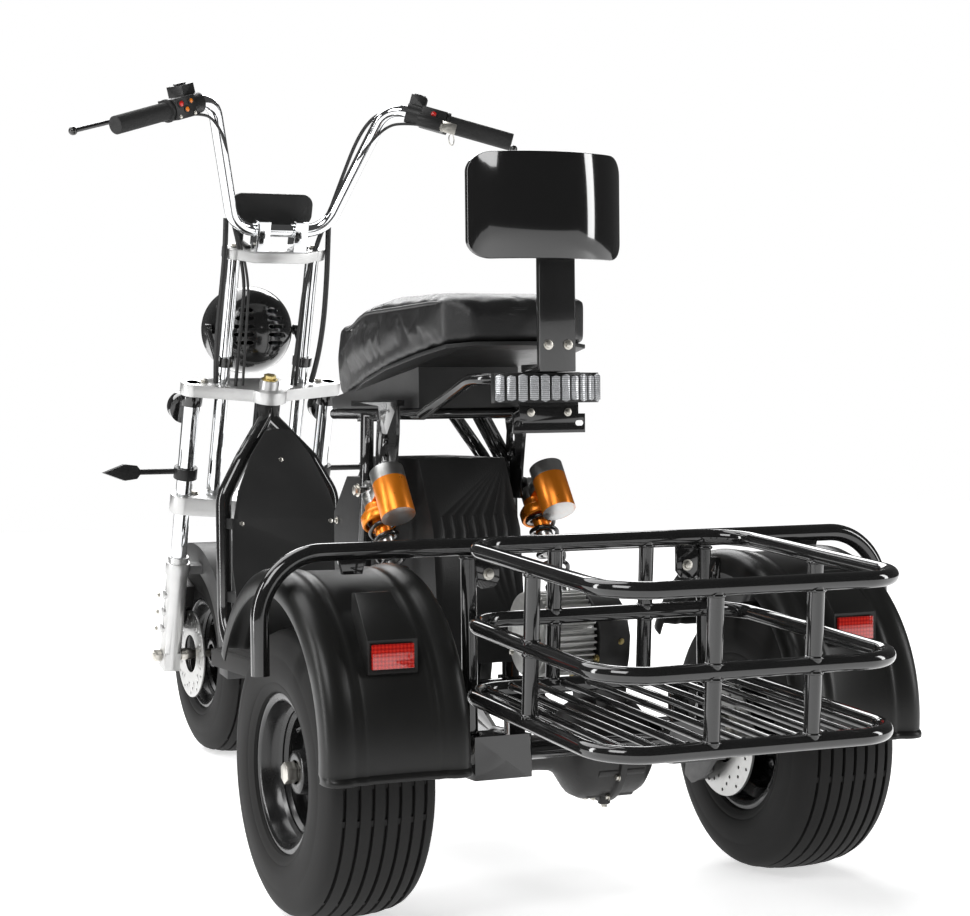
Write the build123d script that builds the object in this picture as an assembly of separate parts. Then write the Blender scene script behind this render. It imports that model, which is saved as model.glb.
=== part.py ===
from build123d import *
from math import cos, sin, tan, radians, pi
import os

os.makedirs("parts", exist_ok=True)

# Adult electric tricycle, one wheel in front and two behind, with a tubular cargo basket.
# Millimetres, +Z up, front faces -Y, +X is the rider's left.
# Origin on the ground under the middle of the whole machine.
# The wheels are placed from the wheelbase and the track; the seat, posts and battery box stand
# on the footboard rails between them, and the basket and mudguards follow the rear axle.

# ---- driving dimensions ---------------------------------------------------------------
tyre_od = 406.0            # 16 x 6.50-8 tyre
tyre_width = 165.0
rim_bead_d = 203.2         # 8 inch rim
wheelbase = 1500.0
track = 726.0
rake = 18.0                # head angle from vertical
stanchion_gap = 280.0      # between the outer fork tubes
riser_gap = 160.0          # between the inner riser tubes
stanchion_d = 32.0
riser_d = 26.0
stem_offset = 45.0         # steering axis behind the plane of the fork tubes
bar_d = 25.0
basket_length = 438.0      # over tube centres
basket_width = 426.0
basket_tube_d = 22.0
basket_pitch = 4.15        # front of the basket tipped up
basket_height = 200.0      # bottom ring to top ring, tube centres
basket_ahead = 99.5        # axle to the basket's front tube
grab_tube_d = 25.0
seat_length = 640.0
seat_width = 262.0
fender_radius = 235.0
battery_width = 150.0

# ---- clearances -----------------------------------------------------------------------
run_fit = 0.05             # radial, parts that turn or slide on each other
seat_fit = 0.05            # radial, parts held on a round face
bush_gap = 0.8             # radial, lower bush of each suspension unit
pad_gap = 0.3              # between a soft part and its support

# ---- derived --------------------------------------------------------------------------
tyre_r = tyre_od / 2
bead_r = rim_bead_d / 2
basket_lean = basket_height * tan(radians(basket_pitch))
y_rear = (wheelbase + tyre_r - basket_ahead - basket_length - basket_lean - basket_tube_d / 2) / 2
y_front = y_rear - wheelbase
x_wheel = track / 2
basket_front = y_rear + basket_ahead
basket_rear = basket_front + basket_length
x_st = stanchion_gap / 2
x_ri = riser_gap / 2
st_r = stanchion_d / 2
ri_r = riser_d / 2
bar_r = bar_d / 2
fork = Location((0, y_front, tyre_r), (-rake, 0, 0))


# ---- helpers --------------------------------------------------------------------------
def save(shape, name):
    solids = shape.solids()
    export_step(solids[0] if len(solids) == 1 else Compound(list(solids)), "parts/" + name + ".step")
    print(name, len(solids), round(sum(s.volume for s in solids) / 1000.0, 1), "cm3")


def box(x0, x1, y0, y1, z0, z1):
    return Pos((x0 + x1) / 2, (y0 + y1) / 2, (z0 + z1) / 2) * Box(x1 - x0, y1 - y0, z1 - z0)


def rod(p, q, r, r2=None):
    p, q = Vector(*p), Vector(*q)
    d = q - p
    pl = Plane(origin=p, z_dir=d)
    if r2 is None:
        return extrude(pl * Circle(r), d.length)
    return loft([(pl * Circle(r)).faces()[0], (Plane(origin=q, z_dir=d) * Circle(r2)).faces()[0]])


def pipe(pts, r, bend, inner=0.0, close=False):
    if close:
        path = FilletPolyline(*pts, radius=bend, close=True)
    else:
        path = FilletPolyline(*pts, radius=bend) if len(pts) > 2 else Line(*pts)
    start = path @ 0
    pl = Plane(origin=start, z_dir=path % 0)
    out = sweep(pl * Circle(r), path=path)
    if inner > 0:
        out = out - sweep(pl * Circle(inner), path=path)
    return out


def cyl_x(x0, x1, y, z, r):
    return rod((x0, y, z), (x1, y, z), r)


def mirror_x(s):
    return mirror(s, about=Plane.YZ)


def both(s):
    return s + mirror_x(s)


# ---- wheels ---------------------------------------------------------------------------
def wheel_profile(points):
    return revolve(Plane.XY * make_face(Polyline(*points, close=True)), axis=Axis.X)


def tyre():
    w, r = tyre_width / 2, tyre_r
    wall = 9.0
    outer = Pos(0, (r + bead_r - 4) / 2) * RectangleRounded(2 * w, r - bead_r + 4, 42)
    inner = Pos(0, (r + bead_r - 4) / 2 - 3) * RectangleRounded(2 * w - 2 * wall,
                                                              r - bead_r - 2 * wall, 34)
    beads = Pos(0, bead_r - 8) * Rectangle(2 * w, 2 * (8 + seat_fit))
    mouth = Pos(0, bead_r) * Rectangle(2 * w - 60, 30)
    sec = outer - inner - beads - mouth
    for e in (-1, 1):
        sec -= Pos(e * 80.8, bead_r) * Rectangle(30, 2 * 9.2)
    for i in range(-2, 4):
        sec -= Pos(i * 22.0 - 11.0, r) * Rectangle(4.5, 12)
    return revolve(Plane.XY * sec, axis=Axis.X)


def rim(hub_half, bore_r, disc_x=None):
    b = bead_r
    f = b + 9
    w = 71.0
    barrel = [(-w, b - 6), (-w, f), (-w + 5, f), (-w + 5, b), (-48, b), (-40, b - 14), (40, b - 14),
              (48, b), (w - 5, b), (w - 5, f), (w, f), (w, b - 6), (44, b - 6), (36, b - 20),
              (-36, b - 20), (-44, b - 6)]
    r = wheel_profile(barrel)
    r += cyl_x(-6, 6, 0, 0, b - 16)
    r += cyl_x(-hub_half, hub_half, 0, 0, 34)
    for i in range(5):
        a = radians(72 * i + 36)
        r -= cyl_x(-10, 10, 60 * cos(a), 60 * sin(a), 13)
    r -= cyl_x(-hub_half - 1, hub_half + 1, 0, 0, bore_r)
    if disc_x is not None:
        s = 1 if disc_x > 0 else -1
        x_in = s * min(abs(disc_x), hub_half)
        r += cyl_x(min(disc_x, disc_x + s * 4), max(disc_x, disc_x + s * 4), 0, 0, 88) \
            - cyl_x(disc_x - 6, disc_x + 6, 0, 0, 22)
        r += cyl_x(min(x_in - s * 30, disc_x + s * 2), max(x_in - s * 30, disc_x + s * 2), 0, 0, 34) \
            - cyl_x(-200, 200, 0, 0, bore_r)
    return r


front_axle_r = 8.0
rear_axle_r = 12.5
t = tyre()
save(Pos(0, y_front, tyre_r) * t, "tyre_front")
save(Pos(x_wheel, y_rear, tyre_r) * t, "tyre_rear_left")
save(Pos(-x_wheel, y_rear, tyre_r) * t, "tyre_rear_right")
save(Pos(0, y_front, tyre_r) * rim(88, front_axle_r + run_fit, disc_x=94.0), "rim_front")
diff_x = -55.0
rim_l = rim(66, 5.0, disc_x=-98.0)
nut = Rot(0, 90, 0) * extrude(RegularPolygon(16, 6), 16)
shaft_l = cyl_x(diff_x + 1, x_wheel + 70, 0, 0, rear_axle_r) + Pos(x_wheel + 60, 0, 0) * nut
shaft_r_ = cyl_x(-diff_x + 1, x_wheel + 70, 0, 0, rear_axle_r) + Pos(x_wheel + 60, 0, 0) * nut
save(Pos(0, y_rear, tyre_r) * (Pos(x_wheel, 0, 0) * rim_l + shaft_l), "rim_rear_left")
save(Pos(0, y_rear, tyre_r) * mirror_x(Pos(x_wheel, 0, 0) * rim_l + shaft_r_), "rim_rear_right")

# ---- fork lowers: sliders, axle, mudguard, caliper --------------------------------------
seal_top = 214.0
slider_r = 21.0


def slider():
    s = Pos(x_st, 0, (200 - 24) / 2) * Cylinder(slider_r, 200 + 24)
    s += Pos(x_st, 0, 190) * Cylinder(24.0, 24)
    s += Pos(x_st, 0, 207.5) * Cylinder(20.0, 13)
    s += box(x_st - 16, x_st + 16, -20, 20, -28, 10)
    for h in (60, 96, 132):
        s += Pos(x_st + 16, 0, h) * Rot(0, 90, 0) * Cylinder(9, 16)
    s -= Pos(x_st, 0, 30 + 100) * Cylinder(st_r + run_fit, 200)
    s -= Pos(x_st, 0, 0) * Rot(0, 90, 0) * Cylinder(front_axle_r + seat_fit, 60)
    return s


sl = slider()
caliper_tab = box(119, 123.5, -62, -8, 40, 120)
save(fork * (sl + caliper_tab), "slider_left")
save(fork * mirror_x(sl), "slider_right")
axle = Rot(0, 90, 0) * Cylinder(front_axle_r, 2 * (x_st + 36))
for s in (-1, 1):
    nut_at = Pos(s * (x_st + slider_r + 6.2), 0, 0) * Rot(0, 90, 0)
    axle += nut_at * extrude(RegularPolygon(13, 6), 6, both=True)
axle += cyl_x(96.3, x_st - slider_r - 0.2, 0, 0, 12) + cyl_x(-x_st + slider_r + 0.2, -88.3, 0, 0, 12)
save(fork * axle, "front_axle")

guard_r = tyre_r + 22
guard = cyl_x(-93, 93, 0, 0, guard_r) - cyl_x(-90, 90, 0, 0, guard_r - 3) - cyl_x(-94, 94, 0, 0, tyre_r - 30)
wedge = make_face(Polyline((0, 0), (-150, 260), (0, 320), (320, 320), (320, 60), close=True))
guard = guard & extrude(Plane.YZ * wedge, 200, both=True)
arm = box(93 - 1.0, x_st - slider_r + 1.6, -12, 12, 178, 196)
arm -= Pos(x_st, 0, 180) * Cylinder(slider_r + seat_fit, 120) + Pos(x_st, 0, 190) * Cylinder(24 + seat_fit, 26)
guard += both(arm)
save(fork * guard, "front_fender")
cal = box(86, 118.9, -100, -44, 30, 128) - cyl_x(92.5, 99.5, 0, 0, 95) - cyl_x(80, 110, 0, 0, 66)
cal = cal - cyl_x(85, 92.6, 0, 0, 74)
save(fork * cal, "front_caliper")

# ---- steered assembly -------------------------------------------------------------------
s_low, s_mid, s_top = 328.0, 565.0, 838.0
stem_r = 14.0
head_r = 25.0


def yoke(x_lobe, r_lobe, s, thick, with_back=True):
    pts = [(-x_lobe, -r_lobe), (x_lobe, -r_lobe), (x_lobe + r_lobe * 0.4, r_lobe * 0.9), (34, stem_offset + 10),
           (-34, stem_offset + 10), (-x_lobe - r_lobe * 0.4, r_lobe * 0.9)]
    sk = make_face(Polyline(*pts, close=True)) + Pos(x_lobe, 0) * Circle(r_lobe) \
        + Pos(-x_lobe, 0) * Circle(r_lobe)
    if with_back:
        sk += Pos(0, stem_offset) * Circle(36)
    return Pos(0, 0, s) * extrude(sk, thick / 2, both=True)


def bores(r_st, r_ri):
    b = []
    if r_st:
        b += [Pos(sx * x_st, 0, 600) * Cylinder(r_st, 1000) for sx in (-1, 1)]
    if r_ri:
        b += [Pos(sx * x_ri, 0, 600) * Cylinder(r_ri, 1000) for sx in (-1, 1)]
    return b


low = yoke(x_st, 26, s_low, 36)
for b in bores(st_r + seat_fit, ri_r + seat_fit):
    low -= b
low += Pos(0, stem_offset, (s_low + s_mid) / 2 + 8) * Cylinder(stem_r, s_mid - s_low + 16)
save(fork * low, "lower_clamp")
mid = yoke(x_st, 24, s_mid, 24)
for b in bores(st_r + seat_fit, ri_r + seat_fit):
    mid -= b
mid -= Pos(0, stem_offset, s_mid) * Cylinder(stem_r + seat_fit, 80)
mid += Pos(0, stem_offset, s_mid + 12 + 9) * (Cylinder(19, 18) - Cylinder(stem_r + seat_fit, 40))
save(fork * mid, "mid_clamp")

sk = make_face(Polyline((-x_ri, -24), (x_ri, -24), (x_ri, 24), (52, 44), (-52, 44), (-x_ri, 24), close=True))
sk += Pos(x_ri, 0) * Circle(24) + Pos(-x_ri, 0) * Circle(24)
top = Pos(0, 0, s_top) * extrude(sk, 11, both=True)
for b in bores(0, ri_r + seat_fit):
    top -= b
save(fork * top, "top_clamp")

st = Pos(0, 0, (90 + 577) / 2) * (Cylinder(st_r, 577 - 90) - Cylinder(st_r - 3, 577 - 90))
save(fork * (Pos(x_st, 0, 0) * st + Pos(-x_st, 0, 0) * st), "stanchions")
ri = Pos(0, 0, (312 + 849) / 2) * (Cylinder(ri_r, 849 - 312) - Cylinder(ri_r - 2.5, 849 - 312))
save(fork * (Pos(x_ri, 0, 0) * ri + Pos(-x_ri, 0, 0) * ri), "riser_tubes")

# handlebar: wide, swept back, one bent tube
bar_y, bar_z = y_front + 296.0, 1040.0
bar_tip = (380.0, y_front + 525.0, 1200.0)
bar_bend = (172.0, y_front + 426.0, 1268.0)
bar_foot = (92.0, bar_y, bar_z)


def mx(p):
    return (-p[0], p[1], p[2])


bar_pts = [mx(bar_tip), mx(bar_bend), mx(bar_foot), bar_foot, bar_bend, bar_tip]
save(pipe(bar_pts, bar_r, (45, 60, 60, 45), inner=bar_r - 2.2), "handlebar")

bar_s = (bar_y - y_front) * sin(radians(rake)) + (bar_z - tyre_r) * cos(radians(rake))
bar_l = (bar_y - y_front) * cos(radians(rake)) - (bar_z - tyre_r) * sin(radians(rake))
clamp = None
for sx in (-38, 38):
    c = box(sx - 13, sx + 13, bar_l - 19, bar_l + 19, s_top + 11, bar_s + 20)
    c -= cyl_x(sx - 20, sx + 20, bar_l, bar_s, bar_r + seat_fit)
    clamp = c if clamp is None else clamp + c
save(fork * clamp, "bar_clamps")

# bar ends: grips, controls and brake levers, laid out along the straight end of the bar
g = Vector(*bar_tip) - Vector(*bar_bend)
g = g / g.length
leg = Plane(origin=Vector(*bar_tip), z_dir=g * -1, x_dir=Vector(0, 0, 1) - g * g.Z)
# leg: z runs inboard from the bar end, x is up; y points forward on the left side
fwd = 1.0 if leg.y_dir.Y < 0 else -1.0


def on_leg(s):
    return leg.location * s


grip_len = 125.0
grip = Pos(0, 0, grip_len / 2 - 2.5) * Cylinder(16.5, grip_len + 5) + Pos(0, 0, grip_len - 3) * Cylinder(21, 6)
grip -= Pos(0, 0, grip_len / 2 - 0.15) * Cylinder(bar_r + run_fit, grip_len + 0.3)
ctrl = Pos(0, 0, grip_len + 0.4 + 24) * (Box(38, 44, 48)) + Pos(24, fwd * 22, grip_len + 62) * Box(26, 40, 30)
ctrl += Pos(0, 0, grip_len + 61.5) * Cylinder(19, 31)
ctrl += Pos(0, fwd * 38, grip_len + 62) * Box(20, 40, 30)
ctrl -= Pos(0, 0, 150) * Cylinder(bar_r + seat_fit, 300)
lever_pivot = (0, fwd * 46, grip_len + 64)
slot = Pos(0, fwd * 52, grip_len + 60) * Box(9.4, 34, 60)
ctrl -= slot
ctrl += Pos(*lever_pivot) * Rot(0, 90, 0) * Cylinder(3.5, 20)
lever = pipe([(0, fwd * 46, grip_len + 64), (0, fwd * 62, grip_len + 30), (0, fwd * 110, -8)], 4.2, 40)
lever += Pos(*lever_pivot) * Rot(0, 90, 0) * Cylinder(9, 9)
lever += Pos(0, fwd * 110, -8) * Sphere(8)
lever -= Pos(*lever_pivot) * Rot(0, 90, 0) * Cylinder(3.5 + run_fit, 30)
save(on_leg(grip), "grip_left")
save(on_leg(ctrl), "controls_left")
save(on_leg(lever), "brake_lever_left")
save(mirror_x(on_leg(grip)), "throttle_grip")
key_x, key_y = -10.0, -fwd * 35
ctrl_r = ctrl + Pos(key_x, key_y, grip_len + 28) * Cylinder(13, 44)
ctrl_r += Pos(-6, -fwd * 25, grip_len + 30) * Box(20, 16, 36)
ctrl_r -= Pos(0, 0, 150) * Cylinder(bar_r + seat_fit, 300)
ctrl_r -= Pos(key_x, key_y, grip_len + 12) * Cylinder(5 + run_fit, 16)
save(mirror_x(on_leg(ctrl_r)), "controls_right")
key = Pos(key_x, key_y, grip_len + 11) * Cylinder(5, 14) + Pos(key_x, key_y, grip_len - 9.5) * Box(20, 3, 28)
save(mirror_x(on_leg(key)), "key")
save(mirror_x(on_leg(lever)), "brake_lever_right")

# headlight in front of the risers on its own bracket, small plate behind the bars
lamp_y, lamp_z, lamp_r = y_front + 126.0, 856.0, 86.0
bowl = Polyline((-62, 0), (-62, lamp_r), (-10, lamp_r), (24, 74), (46, 50), (56, 20), (58, 0), close=True)
hollow = Polyline((-63, 0), (-63, lamp_r - 4), (-12, lamp_r - 4), (20, 70), (40, 48), (50, 20), (52, 0),
                  close=True)
shell = revolve(Plane.YZ * make_face(bowl), axis=Axis.Y) - revolve(Plane.YZ * make_face(hollow), axis=Axis.Y)
shell = Pos(0, lamp_y, lamp_z) * shell
ring_s = (lamp_y - y_front) * sin(radians(rake)) + (lamp_z - tyre_r) * cos(radians(rake))
save(shell, "headlight_shell")
lens = Pos(0, lamp_y - 59, lamp_z) * Rot(90, 0, 0) * Cylinder(lamp_r - 4 - seat_fit, 6)
save(lens, "headlight_lens")
arm_from = (fork * Pos(x_ri + 10, -15, ring_s - 40)).position
ear = rod((lamp_r + 0.3, lamp_y, lamp_z), (lamp_r + 12, lamp_y, lamp_z), 10)
ear += rod((lamp_r + 6, lamp_y, lamp_z), (x_ri + 12, arm_from.Y, arm_from.Z), 6)
ear += fork * (Pos(x_ri, 0, ring_s - 40) * (Cylinder(ri_r + 6, 18) - Cylinder(ri_r + seat_fit, 30)))
ear -= fork * (Pos(x_ri, 0, ring_s - 40) * Cylinder(ri_r + seat_fit, 60))
save(both(ear), "headlight_bracket")

visor = Pos(0, -34.5, 915) * extrude(Plane.XZ * RectangleRounded(166, 62, 22), 4, both=True)
visor += both(box(53, 64, -38.5, -30.5, s_top + 11, 892))
visor += both(box(53, 64, -38.5, 18, s_top + 11, s_top + 17))
visor = fork * visor
save(visor, "visor")


def indicator():
    z_i, y_i = 577.0, y_front + 113.0
    s_i = (y_i - y_front) * sin(radians(rake)) + (z_i - tyre_r) * cos(radians(rake))
    b = fork * (Pos(x_st, 0, s_i) * (Cylinder(st_r + 7, 22) - Cylinder(st_r + seat_fit, 30)))
    b += rod((x_st + st_r + 4, y_i, z_i), (232, y_i, z_i), 5.5)
    arrow = make_face(Polyline((228, 0), (238, 13), (262, 16), (304, 0), (262, -16), (238, -13), close=True))
    b += Pos(0, y_i, z_i) * extrude(Plane.XZ * arrow, 9, both=True)
    return b


ind = indicator()
save(both(ind), "turn_signals")
horn = fork * (Pos(x_st + 6, -st_r - 13, s_mid - 48) * Rot(90, 0, 0) * Cylinder(30, 24))
horn += fork * (Pos(x_st, 0, s_mid - 24) * (Cylinder(st_r + 5, 20) - Cylinder(st_r + seat_fit, 30)))
horn += fork * box(x_st - 8, x_st + 8, -st_r - 4 - 10, -st_r - 1, s_mid - 60, s_mid - 16)
horn -= fork * (Pos(x_st, 0, s_mid - 40) * Cylinder(st_r + seat_fit, 120))
save(both(horn), "horns")

# ---- main frame -------------------------------------------------------------------------
head_lo, head_hi = s_low + 18 + 1.0, s_mid - 12 - 1.0
head_mid = (fork * Pos(0, stem_offset, (head_lo + head_hi) / 2)).position
head_top = (fork * Pos(0, stem_offset, head_hi - 30)).position
head_bot = (fork * Pos(0, stem_offset, head_lo + 66)).position
floor_z = 232.0
rail_x = 110.0
rail_r = 15.0
pivot_y, pivot_z = 150.0, 240.0
head = fork * (Pos(0, stem_offset, (head_lo + head_hi) / 2) * Cylinder(head_r, head_hi - head_lo))
fr = head
down_y = y_front + 265.0
arch = [(0, head_top.Y + 6, head_top.Z), (70, down_y - 7, 600), (rail_x, down_y, 530), (rail_x, down_y, floor_z),
        (rail_x, pivot_y + 30, floor_z)]
fr += both(pipe(arch, rail_r, (30, 60, 90)))
foot_y = y_front + 341.0
deck_y = y_front + 362.0
fr += rod((0, head_bot.Y, head_bot.Z), (0, foot_y, floor_z), 18)
fr += cyl_x(-rail_x, rail_x, foot_y, floor_z, 13)
fr += cyl_x(-rail_x, rail_x, -90, floor_z, 13)
fr += cyl_x(-rail_x, rail_x, pivot_y - 60, floor_z, 13)
post_y = 150.0
post_top = (77.0, 0.0, 690.0)
post_low = (rail_x, 78.0, 600.0)
fr += both(pipe([(rail_x, -40, floor_z), (rail_x, 60, 420), post_low, post_top], 11, (60, 60)))
fr += both(pipe([(83, 96, 690), (rail_x, post_y, 600), (rail_x, post_y, floor_z)], 14, (60,)))
seat_rail_z = 690.0
fr += both(rod((77, -150, seat_rail_z), (83, 250, seat_rail_z), 9))
hinge_y = -150.0
fr += cyl_x(-77, 77, hinge_y, seat_rail_z, 8) + cyl_x(-79, 79, -60, seat_rail_z, 8)
fr += cyl_x(-83, 83, 230, seat_rail_z, 8)
fr += both(pipe([(83, 246, seat_rail_z), (83, 430, 742), (60, 500, 742)], 9, (60,)))
fr += cyl_x(-64, 64, 496, 742, 9)
shock_x, shock_ty, shock_tz = 138.0, 171.0, 571.0
plate = make_face(Polyline((135, 712), (215, 712), (212, 660), (200, 600), (196, 552), (146, 552), (140, 600),
                           (150, 660), close=True))
plate = extrude(Plane.YZ * plate, 3, both=True)
plate = Pos(rail_x, 0, 0) * plate
plate -= cyl_x(100, 125, 171, 650, 9) + cyl_x(100, 125, 168, 622, 6)
fr += both(plate)
fr += both(cyl_x(rail_x, shock_x + 24, shock_ty, shock_tz, 6))
fr += both(box(100, 113, 20, 215, 703, 712))
# pivot lugs for the rear carrier
fr += both(box(rail_x - 12, rail_x + 15, pivot_y - 24, pivot_y + 30, floor_z - 10, floor_z + 28))
fr -= cyl_x(-200, 200, pivot_y, pivot_z, 8 + run_fit)
fr -= fork * (Pos(0, stem_offset, s_low + 100) * Cylinder(stem_r + run_fit, 500))
save(fr, "frame_main")
pin = cyl_x(-rail_x - 26, rail_x + 26, pivot_y, pivot_z, 8)
pin += both(cyl_x(rail_x + 15.1, rail_x + 25, pivot_y, pivot_z, 13))
save(pin, "pivot_bolt")

deck = box(-170, 170, deck_y, -150, floor_z + rail_r, floor_z + rail_r + 4)
deck += both(box(166, 170, deck_y, -150, floor_z - 12, floor_z + rail_r + 4))
deck -= rod((0, head_bot.Y, head_bot.Z), (0, foot_y, floor_z), 19)
deck += box(-160, 160, deck_y + 8, -160, floor_z + rail_r + 4, floor_z + rail_r + 8)
save(deck, "floor_plate")

# spade shaped front cover, in front of the rider's feet
cov = make_face(Polyline((0, 660), (26, 656), (60, 610), (92, 540), (110, 470), (116, 400), (112, 300), (96, 262),
                         (-96, 262), (-112, 300), (-116, 400), (-110, 470), (-92, 540), (-60, 610), (-26, 656),
                         close=True))
cov = extrude(Plane.XZ * cov, 900, both=True)
shape = make_face(Polyline((down_y - 3, 690), (down_y + 101, 240), (down_y + 105, 240), (down_y + 1, 690),
                           close=True))
skin = extrude(Plane.YZ * shape, 200, both=True)
cover = cov & skin
cover += both(box(98, 110, down_y + 6, down_y + 49, 470, 490) + box(98, 110, down_y + 6, down_y + 86, 330, 350))
cover -= fork * (Pos(0, stem_offset, s_low + 100) * Cylinder(head_r + 0.3, 320))
cover -= both(rod(arch[0], arch[1], rail_r + 0.1) + rod(arch[1], arch[2], rail_r + 0.1))
cover -= both(rod((rail_x, down_y, 560), (rail_x, down_y, 200), rail_r + 0.1))
cover -= rod((0, head_bot.Y, head_bot.Z), (0, foot_y, floor_z), 18.3)
save(cover, "front_cover")

# ---- battery box between the posts ------------------------------------------------------
bw = battery_width / 2
case_top, case_base = 619.0, floor_z + 13.0
case_pts = [(-100, case_base), (104, case_base), (104, 300), (285, 300), (266, 507), (210, case_top),
            (-20, case_top), (-100, 530)]


def inset(pts, d):
    f = make_face(Polyline(*pts, close=True))
    return offset(f, amount=-d, kind=Kind.INTERSECTION)


case = extrude(Plane.YZ * make_face(Polyline(*case_pts, close=True)), bw, both=True)
case -= extrude(Plane.YZ * inset(case_pts, 4), bw - 4, both=True)
for i in range(-3, 4):
    groove = make_face(Polyline((283.5, 340), (265.5, 507), (254, 530), (275, 545), (300, 340), close=True))
    case -= Pos(i * 18.0, 0, 0) * extrude(Plane.YZ * groove, 3, both=True)
save(case, "battery_case")
pack = box(-62, 62, -90, 98, case_base + 4, 520)
save(pack, "battery_pack")
side_pts = [(-112, case_base), (-112, 524), (-50, 586), (112, 586), (112, case_base + 30), (104, case_base)]
sc = Pos(bw, 0, 0) * extrude(Plane.YZ * make_face(Polyline(*side_pts, close=True)), 20.5)
sc -= Pos(bw - 1, 0, 0) * extrude(Plane.YZ * inset(side_pts, 4), 18.0)
sc -= box(bw - 1, bw + 12, -101, 90, case_base - 1, 300) + both(cyl_x(0, 200, -90, floor_z, 13.3))
sc -= rod((rail_x, -40, floor_z), (rail_x, 60, 420), 14) + rod((rail_x, 60, 420), post_low, 14)
save(both(sc), "side_covers")

# ---- seat: hinged base pan and cushion --------------------------------------------------
seat_front = -195.0
seat_rear = seat_front + seat_length
sw = seat_width / 2
seat_slope = 0.137


def seat_z(y):
    return 714.0 + (y + 170.0) * seat_slope


def seat_plan(d):
    p = [(0, seat_front + d), (44 - d, seat_front + 4 + d), (66 - d, seat_front + 40), (84 - d, -60),
         (112 - d, 60), (sw - d, 200), (sw - d, 330), (sw - 10 - d, seat_rear - 30),
         (84 - d, seat_rear - d), (0, seat_rear + 4 - d)]
    q = [(-a, b) for a, b in p[-2:0:-1]]
    return make_face(Polyline(*(p + q), close=True))


plan = extrude(seat_plan(0), 1200)
nose_y, tail_y = seat_front - 10, seat_rear + 10
base_skin = make_face(Polyline((nose_y, seat_z(nose_y) - 6), (tail_y, seat_z(tail_y) - 6),
                               (tail_y, seat_z(tail_y)), (nose_y, seat_z(nose_y)), close=True))
sbase = extrude(seat_plan(5), 1200) & extrude(Plane.YZ * base_skin, 200, both=True)
tray_bottom = seat_rail_z + 9.0
tray_side = make_face(Polyline((-138, tray_bottom), (240, tray_bottom), (240, seat_z(240) - 1),
                               (-138, seat_z(-138) - 1), close=True))
tray = extrude(Plane.YZ * tray_side, 86, both=True)
tray_in = make_face(Polyline((-120, tray_bottom + 3), (236, tray_bottom + 3), (236, seat_z(236) + 1),
                             (-120, seat_z(-120) + 1), close=True))
sbase += tray
sbase -= extrude(Plane.YZ * tray_in, 72, both=True)
sbase += box(-30, 30, hinge_y - 15, hinge_y + 14, seat_rail_z - 14, tray_bottom + 6)
sbase -= cyl_x(-90, 90, hinge_y, seat_rail_z, 8 + run_fit)
sbase -= box(-40, 40, -124, -70, 0, tray_bottom + 0.001)
save(sbase, "seat_base")
side_line = Polyline((seat_front - 6, seat_z(seat_front - 6)), (seat_front, 764), (-190, 800), (-170, 830),
                     (-138, 838), (-95, 832), (-40, 850), (60, 862), (200, 868), (370, 866), (seat_rear - 14, 858),
                     (seat_rear + 2, 838), (seat_rear + 6, seat_z(seat_rear + 6)), close=True)
cushion = plan & extrude(Plane.YZ * make_face(side_line), 300, both=True)
save(cushion, "seat_cushion")

# ---- backrest ---------------------------------------------------------------------------
back_r, back_y = 172.0, 396.0
post_b = box(-29, 29, 543, 555, 751, 980) + box(-29, 29, 490, 555, 751, 762)
save(post_b, "backrest_post")


def arc_band(r0, r1, z0, z1, half_w, corner):
    band = Pos(0, back_y, (z0 + z1) / 2) * (Cylinder(r1, z1 - z0) - Cylinder(r0, z1 - z0 + 2))
    face = Plane.XZ * RectangleRounded(2 * half_w, z1 - z0, corner)
    front = Pos(0, back_y, (z0 + z1) / 2) * extrude(face, 900, both=True)
    return band & front & box(-300, 300, back_y, 700, z0 - 5, z1 + 5)


shell_b = arc_band(back_r - 6, back_r, 914, 1068, 124, 28)
save(shell_b, "backrest_shell")
pad_b = arc_band(back_r - 34, back_r - 6 - pad_gap, 922, 1060, 106, 26)
pad_b -= box(-29.3, 29.3, 542.7, 600, 700, 980.3)
save(pad_b, "backrest_pad")

# ---- tail light and number plate bracket ------------------------------------------------
tl_r = 155.0
tl_y = 549.0 - tl_r
tl_hi, tl_lo = 750.0, 706.0


def tl_band(r0, r1, half_w, z0, z1):
    b = Pos(0, tl_y, (z0 + z1) / 2) * Cylinder(r1, z1 - z0)
    if r0:
        b -= Pos(0, tl_y, (z0 + z1) / 2) * Cylinder(r0, z1 - z0 + 2)
    return b & box(-half_w, half_w, 505, 600, z0, z1)


save(tl_band(0, tl_r - 5, 85, tl_lo, tl_hi), "tail_light_housing")
save(tl_band(tl_r - 5, tl_r, 90, tl_lo + 1, tl_hi - 1), "tail_light_lens")
pb = box(-59, 59, 521, 524, 662, tl_lo) - box(-62, -48, 500, 540, 690, 720) - box(48, 62, 500, 540, 690, 720)
for sx in (-1, 1):
    pb -= Pos(sx * 50, 522.5, 676) * extrude(Plane.XZ * SlotOverall(14, 8), 10, both=True)
save(pb, "plate_bracket")

# ---- rear carrier: swinging axle carrier, drive, calipers --------------------------------
tube_x = 78.0
eye_y, eye_z = 299.0, 388.0
bar_pos_y = basket_front - basket_tube_d / 2 - grab_tube_d / 2
grab_z = 509.0
ax_r = 26.0
side = make_face(Polyline((205, 206), (205, 232), (284, 402), (314, 402), (350, 372), (y_rear, 246),
                          (y_rear + 116, 250), (y_rear + 116, 190), (y_rear + 46, 184), (y_rear - 14, 172), (400, 190), close=True))
hole = make_face(Polyline((262, 244), (312, 350), (440, 282), (470, 218), (380, 216), close=True))
sp = Pos(112, 0, 0) * (extrude(Plane.YZ * side, 6) - extrude(Plane.YZ * hole, 6))
sa = sp
sa += rod((tube_x, pivot_y + 8, pivot_z - 1), (tube_x, y_rear - 10, tyre_r + 2), 15)
sa += box(116, 198, y_rear + 62, y_rear + 116, 190, 250)
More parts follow.
